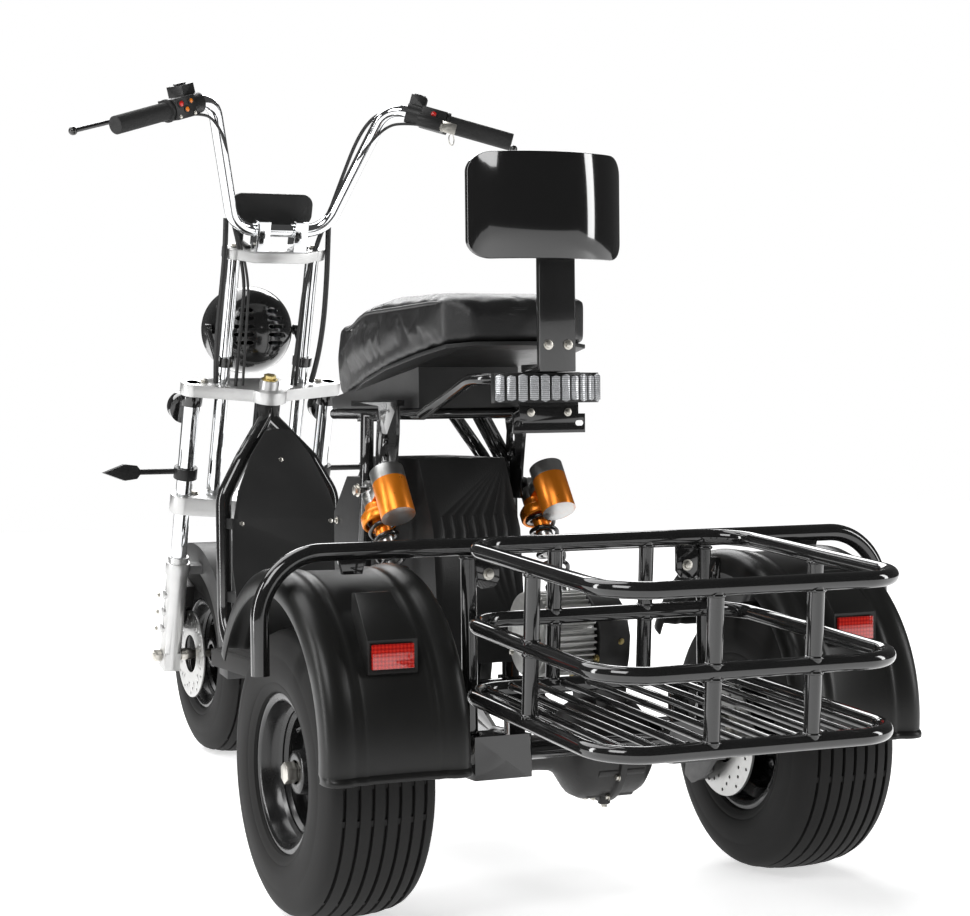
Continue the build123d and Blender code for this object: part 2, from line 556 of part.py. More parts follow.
sa += cyl_x(112, shock_x + 24, eye_y, eye_z, 6) + cyl_x(112, shock_x - 11.2, eye_y, eye_z, 10)
sa += box(112, x_wheel - 127, y_rear - 16, y_rear + 16, 186, 238)
guard_x = x_wheel - 111.0
sa += rod((guard_x - 30, y_rear, 230), (guard_x - 8, y_rear, 452), 7)
sa += box(guard_x - 8, guard_x - 0.1, y_rear - 14, y_rear + 14, 440, 474)
sa = both(sa)
sa += cyl_x(-94.7, 94.7, pivot_y, pivot_z, 17)
sa += cyl_x(-114, 114, 236, 222, 10) + cyl_x(-114, 114, y_rear + 88, 222, 13)
sa -= cyl_x(-97, 97, pivot_y, pivot_z, 8 + run_fit)
sa -= cyl_x(121 - x_wheel, x_wheel - 121, y_rear, tyre_r, ax_r + seat_fit)
for sx in (-1, 1):
    sa += box(sx * 130 - 12, sx * 130 + 12, basket_front - 9, basket_front + 9, 248, 306)
ring_z = 281.0
front_z = ring_z + basket_length * sin(radians(basket_pitch))
ring_y = basket_rear - basket_length * cos(radians(basket_pitch))
sa -= cyl_x(-240, 240, ring_y, front_z, basket_tube_d / 2 + 0.1)
sa -= cyl_x(diff_x - 60, diff_x + 60, y_rear, tyre_r, 76)
save(sa, "swing_arm")

df = cyl_x(113 - x_wheel, x_wheel - 113, y_rear, tyre_r, ax_r)
bulge = Cylinder(72, 64) + Pos(0, 0, 44) * Cone(66, 34, 26) + Pos(0, 0, -44) * Rot(180, 0, 0) * Cone(66, 34, 26)
df += Pos(diff_x, y_rear, tyre_r) * Rot(0, 90, 0) * bulge
mot_y, mot_z, mot_r = y_rear - 12.0, 372.0, 62.0
df += box(diff_x - 22, diff_x + 22, y_rear - 42, y_rear + 32, 230, 370)
df += cyl_x(diff_x - 22, diff_x + 28, mot_y, mot_z, 56)
df -= cyl_x(-x_wheel, x_wheel, y_rear, tyre_r, rear_axle_r + run_fit)
save(df, "differential")
mo = cyl_x(diff_x + 28, 58, mot_y, mot_z, mot_r)
for i in range(16):
    a = 2 * pi * i / 16
    y, z = mot_y + 64 * cos(a), mot_z + 64 * sin(a)
    mo -= rod((diff_x + 36, y, z), (50, y, z), 4)
mo += cyl_x(58, 66, mot_y, mot_z, 30)
save(mo, "motor")
cal_x = x_wheel - 124.0
rc = box(cal_x, cal_x + 40, y_rear - 80, y_rear - 22, 132, 178)
rc -= cyl_x(cal_x + 21.2, cal_x + 26.8, y_rear, tyre_r, 92) + cyl_x(cal_x - 9, cal_x + 51, y_rear, tyre_r, 58)
rc += box(cal_x, cal_x + 7, y_rear - 74, y_rear + 16, 160, 236)
rc -= cyl_x(cal_x - 9, cal_x + 51, y_rear, tyre_r, ax_r + seat_fit)
save(both(rc), "rear_calipers")

# ---- rear mudguards and reflectors --------------------------------------------------------
fy, fz = y_rear + 4.0, 250.0
fr_ = fender_radius


def fender_section(d):
    r = fr_ - d
    a, b = guard_x + d, guard_x + 207 - d
    return [(a, fr_ - 34), (a, r - 22), (a + 22, r), (b - 22, r), (b, r - 22), (b, fr_ - 34)]


fen = revolve(Plane.XY * make_face(Polyline(*fender_section(0), close=True)), axis=Axis.X)
under = [(guard_x + 3, fr_ - 36)] + fender_section(3)[1:-1] + [(guard_x + 204, fr_ - 36)]
fen -= revolve(Plane.XY * make_face(Polyline(*under, close=True)), axis=Axis.X)
cut = make_face(Polyline((0, 0), (300, -26), (300, 400), (-320, 400), (-320, 163), close=True))
fen = Pos(0, fy, fz) * (fen & extrude(Plane.YZ * cut, 500, both=True))
pod_y = y_rear + 212.0
pod = make_face(Polyline((pod_y - 42, 440), (pod_y, 398), (pod_y, 362), (pod_y - 16, 352), (pod_y - 46, 352),
                         close=True))
pod = Pos(guard_x + 70, 0, 0) * extrude(Plane.YZ * pod, 70)
pod -= cyl_x(guard_x + 48, guard_x + 168, fy, fz, fr_ - 1.5)
fen += pod
save(both(fen), "rear_fenders")
save(both(box(guard_x + 75, guard_x + 135, pod_y, pod_y + 4, 366, 394)), "rear_reflectors")

# ---- grab bar and cargo basket ------------------------------------------------------------
gx, gr = guard_x + 239.0, grab_tube_d / 2
grab = pipe([(gx, bar_pos_y, 348), (gx, bar_pos_y, grab_z), (-gx, bar_pos_y, grab_z), (-gx, bar_pos_y, 348)],
            gr, (88, 88), inner=gr - 2.0)
grab += both(rod((187, bar_pos_y, 250), (187, bar_pos_y, grab_z - gr + 1.2), 11))
grab += both(box(141, 187, bar_pos_y - 3, bar_pos_y + 3, 464, grab_z - gr + 1.2))
hook = box(104, 122, bar_pos_y + 4, ring_y, grab_z - 4, grab_z + 8) - cyl_x(-gx, gx, bar_pos_y, grab_z, gr - 1)
grab += both(hook - cyl_x(90, 130, ring_y, front_z + basket_height, basket_tube_d / 2 + 0.1))
tab = box(guard_x + 93, guard_x + 123, bar_pos_y - 6, bar_pos_y + 6, 440, grab_z - gr + 1.2)
tab -= cyl_x(guard_x + 88, guard_x + 128, fy, fz, fr_ + 0.15)
grab += both(tab)
save(grab, "grab_bar")

bt = basket_tube_d / 2
blen, bwid = basket_length, basket_width / 2
bloc = Location((0, basket_rear, ring_z), (-basket_pitch, 0, 0))


def ring(h):
    pts = [(bwid, 0, h), (bwid, -blen, h), (-bwid, -blen, h), (-bwid, 0, h)]
    p = FilletPolyline(*pts, radius=65, close=True)
    return sweep(Plane(origin=p @ 0, z_dir=p % 0) * Circle(bt), path=p)


top_h = basket_height / cos(radians(basket_pitch))
basket = ring(0) + ring(97.0) + ring(top_h)
for x, y in ((72, 0), (-72, 0), (72, -blen), (-72, -blen), (bwid, -blen / 2), (-bwid, -blen / 2)):
    basket += rod((x, y, 0), (x, y, top_h), bt - 0.5)
for i in range(10):
    x = -180 + 40 * i
    basket += rod((x, -2, 4), (x, -blen + 2, 4), 5)
save(bloc * basket, "basket")

# ---- rear suspension units ------------------------------------------------------------------
sd = Vector(0, eye_y - shock_ty, eye_z - shock_tz)
sl_len = sd.length
shock = Plane(origin=(shock_x, shock_ty, shock_tz), z_dir=sd, x_dir=(1, 0, 0)).location
rear_side = 1.0 if (shock * Pos(0, 10, 0)).position.Y > shock_ty else -1.0
perch_hi, perch_lo = 50.0, sl_len - 36.0
up = Rot(0, 90, 0) * Cylinder(15, 22) + Pos(0, 0, 26) * Cylinder(19, 34) + Pos(0, 0, 46) * Cylinder(25, 8)
up += Pos(0, 0, 86) * Cylinder(13, 88)
up += Pos(0, rear_side * 36, 22) * Box(26, 50, 18)
up += Pos(0, rear_side * 66, 50) * Cylinder(27, 84)
up -= Rot(0, 90, 0) * Cylinder(6 + run_fit, 40)
up -= Pos(0, 0, 102) * Cylinder(6 + run_fit, 60)
lo = Pos(0, 0, sl_len) * Rot(0, 90, 0) * Cylinder(15, 22) + Pos(0, 0, perch_lo + 4) * Cylinder(25, 8)
lo += Pos(0, 0, perch_lo + 14) * Cylinder(13, 22)
lo += Pos(0, 0, (105 + perch_lo + 10) / 2) * Cylinder(6, perch_lo + 10 - 105)
lo -= Pos(0, 0, sl_len) * Rot(0, 90, 0) * Cylinder(6 + bush_gap, 40)
wire_r = 3.6
coil = perch_lo - perch_hi - 2 * wire_r - 0.2
hel = Helix(pitch=coil / 6, height=coil, radius=20.0)
sp_ = sweep(Plane(origin=hel @ 0, z_dir=hel % 0) * Circle(wire_r), path=hel, is_frenet=True)
sp_ = Pos(0, 0, perch_hi + wire_r + 0.1) * sp_
save(shock * up, "shock_left_upper")
save(shock * lo, "shock_left_lower")
save(shock * sp_, "shock_left_spring")
save(mirror_x(shock * up), "shock_right_upper")
save(mirror_x(shock * lo), "shock_right_lower")
save(mirror_x(shock * sp_), "shock_right_spring")
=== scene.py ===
import math

import bmesh
import bpy
from mathutils import Matrix, Vector


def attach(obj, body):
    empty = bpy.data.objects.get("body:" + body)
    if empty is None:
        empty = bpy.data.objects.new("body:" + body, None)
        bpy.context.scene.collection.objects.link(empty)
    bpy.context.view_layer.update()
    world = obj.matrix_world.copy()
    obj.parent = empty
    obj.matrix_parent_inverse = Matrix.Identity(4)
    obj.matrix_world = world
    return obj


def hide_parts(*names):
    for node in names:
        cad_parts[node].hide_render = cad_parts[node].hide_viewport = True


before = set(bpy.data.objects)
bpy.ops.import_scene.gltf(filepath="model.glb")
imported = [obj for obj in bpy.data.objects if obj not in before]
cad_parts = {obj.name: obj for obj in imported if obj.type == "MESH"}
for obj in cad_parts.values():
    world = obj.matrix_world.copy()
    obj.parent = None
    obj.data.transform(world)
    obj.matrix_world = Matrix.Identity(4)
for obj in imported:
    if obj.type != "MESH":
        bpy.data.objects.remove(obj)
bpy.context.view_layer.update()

# ---- camera, floor and studio light ------------------------------------------------------
# The machine stands on a flat pale floor in a white surround, under a wide soft sun. Two
# square lamps and two long strips draw the bright lines along the chrome and the enamel.
MM = 0.001
FLOOR_HALF = 9
camera_data = bpy.data.cameras.new("camera")
camera = bpy.data.objects.new("camera", camera_data)
bpy.context.scene.collection.objects.link(camera)
bpy.context.scene.camera = camera
camera_data.lens, camera_data.sensor_width = 84.43, 36.0
camera_data.shift_x, camera_data.shift_y = -0.01663, 0.01136
camera_data.clip_start, camera_data.clip_end = 0.1, 60.0
turn_left, tip_down, lean = math.radians(25.09), math.radians(1.743), math.radians(-0.579)
ahead = Vector((-math.sin(turn_left) * math.cos(tip_down), -math.cos(turn_left) * math.cos(tip_down),
                -math.sin(tip_down)))
level = ahead.cross(Vector((0, 0, 1))).normalized()
upward = level.cross(ahead)
across = level * math.cos(lean) + upward * math.sin(lean)
above = upward * math.cos(lean) - level * math.sin(lean)
camera.matrix_world = Matrix((
    (across.x, above.x, -ahead.x, 1.4748), (across.y, above.y, -ahead.y, 3.5061),
    (across.z, above.z, -ahead.z, 0.7111), (0, 0, 0, 1)))


def deselect():
    bpy.ops.object.select_all(action="DESELECT")


def lamp(name, place, aim, width, height, power, tint=(1, 1, 1)):
    light = bpy.data.lights.new(name, "AREA")
    light.shape, light.size, light.size_y = "RECTANGLE", width, height
    light.energy, light.color = power, tint
    lit = bpy.data.objects.new(name, light)
    bpy.context.scene.collection.objects.link(lit)
    lit.location = place
    lit.rotation_euler = (Vector(aim) - Vector(place)).to_track_quat("-Z", "Y").to_euler()
    return lit


lamp("key_lamp", (3.6, 3.2, 4.2), (0, 0.2, 0.4), 2.6, 2.6, 150)
lamp("side_strip", (4.6, -0.4, 1.7), (0, 0.2, 0.6), 0.7, 3.4, 90)
lamp("left_strip", (-4.2, 2.6, 1.9), (0, 0.2, 0.6), 0.8, 3.0, 70)
lamp("back_lamp", (-1.5, -4.5, 3.6), (0, 0, 0.6), 3.4, 2.0, 130)

sun = bpy.data.lights.new("soft_sun", "SUN")
sun.energy, sun.angle = 1.9, math.radians(50)
sun_lamp = bpy.data.objects.new("soft_sun", sun)
bpy.context.scene.collection.objects.link(sun_lamp)
sun_lamp.rotation_euler = (math.radians(28), math.radians(18), 0)

world = bpy.data.worlds.new("studio")
bpy.context.scene.world = world
world.use_nodes = True
sky = world.node_tree.nodes["Background"]
seen = world.node_tree.nodes.new("ShaderNodeLightPath")
strength = world.node_tree.nodes.new("ShaderNodeMapRange")
strength.inputs[3].default_value, strength.inputs[4].default_value = 0.07, 1.0
world.node_tree.links.new(seen.outputs["Is Camera Ray"], strength.inputs[0])
world.node_tree.links.new(strength.outputs[0], sky.inputs["Strength"])
sky.inputs["Color"].default_value = (1, 1, 1, 1)
bpy.context.scene.view_settings.view_transform = "Standard"

deselect()
bpy.ops.mesh.primitive_plane_add(size=2, location=(0, 0, 0))
floor = bpy.context.object
floor.name = floor.data.name = "studio_floor"
bpy.ops.object.mode_set(mode="EDIT")
bpy.ops.transform.resize(value=(FLOOR_HALF, FLOOR_HALF, 1))
bpy.ops.object.mode_set(mode="OBJECT")


class Wire:
    """One output of a material's nodes. The usual signs add the Math nodes they stand for."""

    def __init__(self, finish, socket):
        self.finish, self.socket = finish, socket

    def _math(self, operation, first, second=0.0):
        return self.finish.node("ShaderNodeMath", {"operation": operation}, {0: first, 1: second})

    def __add__(self, other): return self._math("ADD", self, other)
    def __radd__(self, other): return self._math("ADD", other, self)
    def __sub__(self, other): return self._math("SUBTRACT", self, other)
    def __rsub__(self, other): return self._math("SUBTRACT", other, self)
    def __mul__(self, other): return self._math("MULTIPLY", self, other)
    def __rmul__(self, other): return self._math("MULTIPLY", other, self)
    def __gt__(self, other): return self._math("GREATER_THAN", self, other)
    def __lt__(self, other): return self._math("LESS_THAN", self, other)
    def __mod__(self, other): return self._math("FLOORED_MODULO", self, other)
    def __abs__(self): return self._math("ABSOLUTE", self)


class Finish:
    """A material: one Principled shader, and the nodes that vary it over the surface."""

    def __init__(self, name, colour, roughness, metal=0.0, **uniform):
        self.material = bpy.data.materials.new(name)
        self.material.use_nodes = True
        self.tree = self.material.node_tree
        self.shader = self.tree.nodes["Principled BSDF"]
        self.feed("Base Color", colour)
        self.feed("Roughness", roughness)
        self.feed("Metallic", metal)
        for socket, value in uniform.items():
            self.shader.inputs[socket.replace("_", " ")].default_value = value

    def _plug(self, node, key, value):
        socket = node.inputs[key]
        if isinstance(value, Wire):
            self.tree.links.new(value.socket, socket)
        elif isinstance(value, tuple) and len(value) == 3 and socket.type == "RGBA":
            socket.default_value = (*value, 1.0)
        else:
            socket.default_value = value

    def node(self, kind, settings, sockets, out=0):
        made = self.tree.nodes.new(kind)
        for key, value in settings.items():
            if key == "stops":
                for n, (place, shade) in enumerate(value):
                    stop = made.color_ramp.elements[n] if n < 2 else made.color_ramp.elements.new(place)
                    stop.position, stop.color = place, (*shade, 1.0)
            else:
                setattr(made, key, value)
        for key, value in sockets.items():
            self._plug(made, key, value)
        return Wire(self, made.outputs[out])

    def feed(self, socket, value):
        self._plug(self.shader, socket, value)
        return self

    def place(self):
        return self.node("ShaderNodeTexCoord", {}, {}, "Object")

    def along(self, axis):
        return self.node("ShaderNodeSeparateXYZ", {}, {0: self.place()}, axis)

    def speckle(self, scale, detail=4.0, stretch=(1, 1, 1)):
        spot = self.node("ShaderNodeMapping", {}, {"Vector": self.place(), "Scale": stretch})
        return self.node("ShaderNodeTexNoise", {}, {"Vector": spot, "Scale": scale, "Detail": detail})

    def cells(self, scale, feature="F1"):
        return self.node("ShaderNodeTexVoronoi", {"feature": feature}, {"Vector": self.place(),
            "Scale": scale})

    def between(self, wire, low, high):
        return self.node("ShaderNodeMapRange", {}, {0: wire, 3: low, 4: high})

    def two_tone(self, mask, first, second):
        return self.node("ShaderNodeMix", {"data_type": "RGBA"}, {0: mask, 6: first, 7: second}, 2)

    def raised(self, height, distance, strength=1.0):
        bump = self.node("ShaderNodeBump", {}, {"Strength": strength, "Distance": distance, "Height": height})
        return self.feed("Normal", bump)


paper = Finish("studio_paper", (0.86, 0.86, 0.86), 0.6, Emission_Color=(1, 1, 1, 1), Emission_Strength=0.62)
paper.feed("Roughness", paper.between(paper.speckle(3), 0.5, 0.7))
floor.data.materials.append(paper.material)


# ---- main frame --------------------------------------------------------------------------
# Welded steel tube in gloss black enamel: head tube, footboard rails, seat posts, the two
# slotted plates that carry the suspension, and the seat rails above them.
def enamel(name, depth=0.011, gloss=0.10):
    paint = Finish(name, (depth, depth, depth), gloss, Coat_Weight=0.6, Coat_Roughness=0.04)
    cloud = paint.speckle(18, 5)
    paint.feed("Base Color", paint.two_tone(cloud, (depth * 0.7,) * 3, (depth * 1.5,) * 3))
    paint.feed("Roughness", paint.between(cloud, gloss * 0.7, gloss * 1.9))
    paint.raised(paint.speckle(240, 2), 0.00012, 0.35)
    return paint.material


frame_enamel = enamel("frame_enamel")


def fresh(name, body, slot, finish, *nodes):
    """Names a finished mesh, gives it its finish, and hangs it on its body."""
    piece = bpy.context.object
    piece.name = piece.data.name = name
    piece.data.materials.clear()
    piece.data.materials.append(finish)
    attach(piece, body)
    if nodes:
        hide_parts(*nodes)
    return piece


def smooth(angle=35):
    deselect()
    piece = bpy.context.object
    piece.select_set(True)
    bpy.ops.object.shade_smooth_by_angle(angle=math.radians(angle))
    return piece


def modifier(piece, kind, **settings):
    deselect()
    bpy.context.view_layer.objects.active = piece
    piece.select_set(True)
    made = piece.modifiers.new(kind.lower(), kind)
    for key, value in settings.items():
        setattr(made, key, value)
    bpy.ops.object.modifier_apply(modifier=made.name)


SAME_POINT = 2e-6
SHARP_CORNER = math.radians(38)


def machined(node, name, body, slot, finish, edge=0.0, angle=35):
    """A copy of a CAD node with its corners merged, its edges broken, and its rounds smooth."""
    deselect()
    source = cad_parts[node]
    piece = bpy.data.objects.new(name, source.data.copy())
    bpy.context.scene.collection.objects.link(piece)
    bpy.context.view_layer.objects.active = piece
    piece.select_set(True)
    bpy.ops.object.mode_set(mode="EDIT")
    bpy.ops.mesh.select_all(action="SELECT")
    bpy.ops.mesh.remove_doubles(threshold=SAME_POINT)
    if edge:
        bpy.ops.mesh.dissolve_limited(angle_limit=math.radians(1.0))
    bpy.ops.object.mode_set(mode="OBJECT")
    if edge:
        modifier(piece, "BEVEL", width=edge * MM, segments=2, limit_method="ANGLE",
                 angle_limit=SHARP_CORNER, use_clamp_overlap=True)
    smooth(angle)
    return fresh(name, body, slot, finish, node)


machined("frame_main", "frame_tubes", "frame", "frame_black", frame_enamel)

# ---- tyres -------------------------------------------------------------------------------
# Three 16 x 6.50-8 tyres of matt black rubber with seven straight grooves in the tread.
# Each is moulded in one piece and sits on its rim; the front one rolls in the fork.
def begin(kind, name, **where):
    deselect()
    getattr(bpy.ops.mesh, "primitive_%s_add" % kind)(**where)
    piece = bpy.context.object
    piece.name = piece.data.name = name
    return piece


def edit():
    bpy.ops.object.mode_set(mode="EDIT")


def leave():
    bpy.ops.object.mode_set(mode="OBJECT")


def pick(piece, kind, rule):
    """Selects, in edit mode, the verts, edges or faces whose middle and normal fit the rule."""
    bpy.ops.mesh.select_all(action="DESELECT")
    bpy.ops.mesh.select_mode(type={"verts": "VERT", "edges": "EDGE", "faces": "FACE"}[kind])
    mesh = bmesh.from_edit_mesh(piece.data)
    for part in getattr(mesh, kind):
        if kind == "verts":
            part.select_set(bool(rule(part.co / MM, part.normal)))
        elif kind == "edges":
            part.select_set(bool(rule((part.verts[0].co + part.verts[1].co) / (2 * MM), part.is_boundary)))
        else:
            part.select_set(bool(rule(part.calc_center_median() / MM, part.normal)))
    bmesh.update_edit_mesh(piece.data)


def pull(x, y, z):
    return {"value": (x * MM, y * MM, z * MM)}


def outline(name, points, close=True):
    """A line drawn corner by corner from a plane merged to one point."""
    piece = begin("plane", name, size=0.01)
    edit()
    bpy.ops.mesh.select_mode(type="VERT")
    bpy.ops.mesh.select_all(action="SELECT")
    bpy.ops.mesh.merge(type="CENTER")
    at = Vector()
    for n, corner in enumerate(points):
        corner = Vector(corner) * MM
        if n:
            bpy.ops.mesh.extrude_region_move(TRANSFORM_OT_translate={"value": corner - at})
        else:
            bpy.ops.transform.translate(value=corner)
        at = corner
    if close:
        mesh = bmesh.from_edit_mesh(piece.data)
        mesh.verts.ensure_lookup_table()
        for v in mesh.verts:
            v.select_set(v.index in (0, len(points) - 1))
        mesh.select_flush_mode()
        bmesh.update_edit_mesh(piece.data)
        bpy.ops.mesh.edge_face_add()
    bpy.ops.mesh.select_all(action="SELECT")
    return piece


def turned(name, profile, centre, axis=(1, 0, 0), steps=72, angle=360.0, close=True, side=None):
    """Turns a profile of (along the axis, radius) pairs about an axis through centre."""
    axis, centre = Vector(axis).normalized(), Vector(centre)
    side = Vector(side) if side else (Vector((0, 0, 1)) if abs(axis.z) < 0.9 else Vector((0, 1, 0)))
    side = (side - axis * side.dot(axis)).normalized()
    piece = outline(name, [centre + axis * a + side * r for a, r in profile], close)
    bpy.ops.mesh.spin(steps=steps, angle=math.radians(angle), center=centre * MM, axis=axis)
    bpy.ops.mesh.select_all(action="SELECT")
    bpy.ops.mesh.remove_doubles(threshold=SAME_POINT)
    bpy.ops.mesh.normals_make_consistent(inside=False)
    leave()
    return piece


rubber = Finish("tyre_rubber", (0.016, 0.016, 0.016), 0.8, Specular_IOR_Level=0.22)
dusting = rubber.speckle(9, 6)
rubber.feed("Base Color", rubber.two_tone(dusting, (0.008, 0.008, 0.008), (0.018, 0.0175, 0.017)))
rubber.feed("Roughness", rubber.between(dusting, 0.55, 0.8))
rubber.raised(rubber.speckle(420, 3), 0.0003, 0.5)

TYRE_R = 203.0
front_hub = (0, -930.0, TYRE_R)
rear_hubs = {"left": (363.0, 570.0, TYRE_R), "right": (-363.0, 570.0, TYRE_R)}


def crown(x):
    """Height of the tread over the axle at a distance from the tyre's middle."""
    return TYRE_R - 0.6 - 9.0 * (abs(x) / 68.0) ** 2.6


def tyre(name, centre, body, node):
    wall = [(-69, 110.9), (-75, 112), (-78, 118), (-79.5, 122), (-79.5, 125), (-81.5, 128), (-82.3, 142),
            (-82.2, 158), (-81.2, 161), (-81.2, 163), (-80, 172), (-77, 182), (-73, 189.5), (-68, 193.4)]
    tread = []
    for n in range(7):
        x = -57.0 + 19.0 * n
        tread += [(x - 2.6, crown(x)), (x - 1.7, crown(x) - 6.0), (x + 1.7, crown(x) - 6.0),
            (x + 2.6, crown(x))]
        if n < 6:
            tread += [(x + 9.5, crown(x + 9.5))]
    profile = wall + tread + [(-x, r) for x, r in reversed(wall)]
    profile += [(60, 106), (55, 120), (-55, 120), (-60, 106)]
    piece = turned(name, profile, centre, steps=150)
    edit()
    cx, cy, cz = centre

    def wear_nub(middle, normal):
        """The floor of each groove at a few places round the tread, where a nub stands up."""
        x, spoke = middle.x - cx, math.degrees(math.atan2(middle.z - cz, middle.y - cy)) % 360
        radius = math.hypot(middle.y - cy, middle.z - cz)
        in_groove = abs((x + 57.0 + 9.5) % 19.0 - 9.5) < 1.5
        on_floor = 180 < radius < crown(x) - 5.0 and abs(x) < 62
        return in_groove and on_floor and int(spoke / 2.4) % 18 == 0

    pick(piece, "faces", wear_nub)
    bpy.ops.mesh.extrude_region_shrink_fatten(TRANSFORM_OT_shrink_fatten={"value": 4.2 * MM})
    leave()
    smooth(32)
    return fresh(name, body, "tyre_rubber", rubber.material, node)


tyre("front_tyre", front_hub, "front_wheel", "tyre_front")
tyre("left_rear_tyre", rear_hubs["left"], "rear_wheel_left", "tyre_rear_left")
tyre("right_rear_tyre", rear_hubs["right"], "rear_wheel_right", "tyre_rear_right")


# ---- rims, hubs and brake discs ----------------------------------------------------------
# Black pressed-steel rims with a deep stepped well, five round windows and a turned hub.
# A drilled brake disc is bolted to each hub, and a rubber valve stands in each well.
rim_black = Finish("rim_black", (0.006, 0.006, 0.0062), 0.26, Coat_Weight=0.2, Coat_Roughness=0.12)
rim_black.feed("Roughness", rim_black.between(rim_black.speckle(35, 4), 0.16, 0.34))
rim_black.raised(rim_black.speckle(300, 2), 0.00012, 0.3)
zinc = Finish("zinc_bolt", (0.62, 0.60, 0.55), 0.3, 1.0)
zinc.feed("Roughness", zinc.between(zinc.speckle(120, 3), 0.2, 0.45))
brass_zinc = Finish("yellow_zinc", (0.62, 0.50, 0.22), 0.32, 1.0)
brass_zinc.feed("Roughness", brass_zinc.between(brass_zinc.speckle(120, 3), 0.22, 0.48))
disc_steel = Finish("disc_steel", (0.55, 0.55, 0.54), 0.32, 1.0)
rings = (disc_steel.speckle(90, 3, (1, 6, 6)) * 0.6 + disc_steel.speckle(14, 4) * 0.4)
disc_steel.feed("Roughness", disc_steel.between(rings, 0.22, 0.5))
disc_steel.raised(rings, 0.0002, 0.4)


def join(pieces):
    deselect()
    for piece in pieces:
        piece.select_set(True)
    bpy.context.view_layer.objects.active = pieces[0]
    bpy.ops.object.join()
    return bpy.context.object


def carve(piece, cutter):
    """Takes a cutter out of a piece, and the cutter away."""
    modifier(piece, "BOOLEAN", operation="DIFFERENCE", object=cutter, solver="EXACT")
    bpy.data.objects.remove(cutter, do_unlink=True)


def post(name, start, end, radius, sides=24, end_radius=None):
    """A short bar or boss from start to end."""
    start, end = Vector(start) * MM, Vector(end) * MM
    run = end - start
    piece = begin("cone", name, vertices=sides, radius1=radius * MM,
                  radius2=(end_radius or radius) * MM, depth=run.length,
                  location=(start + end) / 2, rotation=run.to_track_quat("Z", "Y").to_euler())
    bpy.ops.object.transform_apply(location=True, rotation=True, scale=True)
    return piece


def softened(piece, edge=0.6, segments=2, angle=35):
    modifier(piece, "BEVEL", width=edge * MM, segments=segments, limit_method="ANGLE",
             angle_limit=math.radians(angle), use_clamp_overlap=True)
    smooth(40)
    return piece


def bolt(start, direction, size, length=5.0):
    """A hexagon head with its washer, standing on start."""
    start, direction = Vector(start), Vector(direction).normalized()
    washer = post("washer", start, start + direction * 1.4, size * 1.35, 24)
    head = post("head", start + direction * 1.4, start + direction * (1.4 + length), size, 6)
    return softened(join([washer, head]), 0.5)


def bolts(name, body, finish, places, size, length=5.0, slot="steel"):
    join([bolt(spot, direction, size, length) for spot, direction in places])
    return fresh(name, body, slot, finish.material)


def spokes(centre, radius, count, x, start=0.0):
    return [(centre[0] + x, centre[1] + radius * math.cos(math.radians(start + 360.0 * n / count)),
             centre[2] + radius * math.sin(math.radians(start + 360.0 * n / count))) for n in range(count)]


def wheel(name, centre, outside, body, node, hub_bolts, bolt_finish):
    """The rim seen from outside (outside is +1 for a wheel whose open face looks to +X)."""
    s = outside
    well = [(s * 71, 104), (s * 71, 110.4), (s * 66, 110.4), (s * 64.5, 103), (s * 62, 101.4),
        (s * 49, 101.2), (s * 41, 88), (-s * 40, 88), (-s * 49, 101.2), (-s * 62, 101.4), (-s * 64.5, 103),
        (-s * 66, 110.4), (-s * 71, 110.4), (-s * 71, 104), (-s * 68, 98), (-s * 46, 96), (-s * 36, 82),
        (s * 34, 82), (s * 42, 93), (s * 55, 97), (s * 68, 99.5)]
    barrel = turned("barrel", well, centre, steps=96)
    disc = turned("disc", [(s * 10, 82.5), (s * 16, 76), (s * 10, 52), (s * 22, 47), (s * 25, 34),
        (s * 52, 30), (s * 54, 27), (s * 54, 17), (s * 20, 17), (s * 8, 30), (s * 4, 50), (s * 6, 78),
        (s * 5, 82.5)], centre, steps=96)
    holes = join([post("hole", (x - 40, y, z), (x + 40, y, z), 8, 24)
                  for x, y, z in spokes(centre, 64, 5, 0, 20)])
    carve(disc, holes)
    back = turned("back", [(-s * 64, 34), (s * 5, 34), (s * 5, 17), (-s * 64, 17)], centre, steps=48)
    piece = join([barrel, disc, back])
    softened(piece, 1.0, 2, 38)
    fresh(name, body, "rim_black", rim_black.material, node)
    bolts(name + "_bolts", body, bolt_finish, [(spot, (s, 0, 0)) for spot in spokes(centre, 41, hub_bolts,
        s * 23, 20)], 5.5, 6)
    valve = [post("stem", Vector(spokes(centre, 86, 1, s * 36, 62)[0]), Vector(spokes(centre, 74, 1,
        s * 54, 62)[0]), 4.4, 20, 3.2), post("cap", Vector(spokes(centre, 74.4, 1, s * 53.5,
        62)[0]), Vector(spokes(centre, 69, 1, s * 62, 62)[0]), 3.8, 12, 3.4)]
    softened(join(valve), 0.4)
    fresh(name + "_valve", body, "rim_black", rim_black.material)


def brake_disc(name, centre, x, body):
    disc = turned("plate", [(x - 2, 38), (x - 2, 88), (x + 2, 88), (x + 2, 38)], centre, steps=96)
    drilled = [post("drill", (centre[0] + x - 9, p[1], p[2]), (centre[0] + x + 9, p[1], p[2]), 2.7, 10)
               for ring, start in ((79, 0), (70, 10), (61, 20)) for p in spokes(centre, ring, 12, 0, start)]
    carve(disc, join(drilled))
    softened(disc, 0.4)
    fresh(name, body, "rim_black", disc_steel.material)


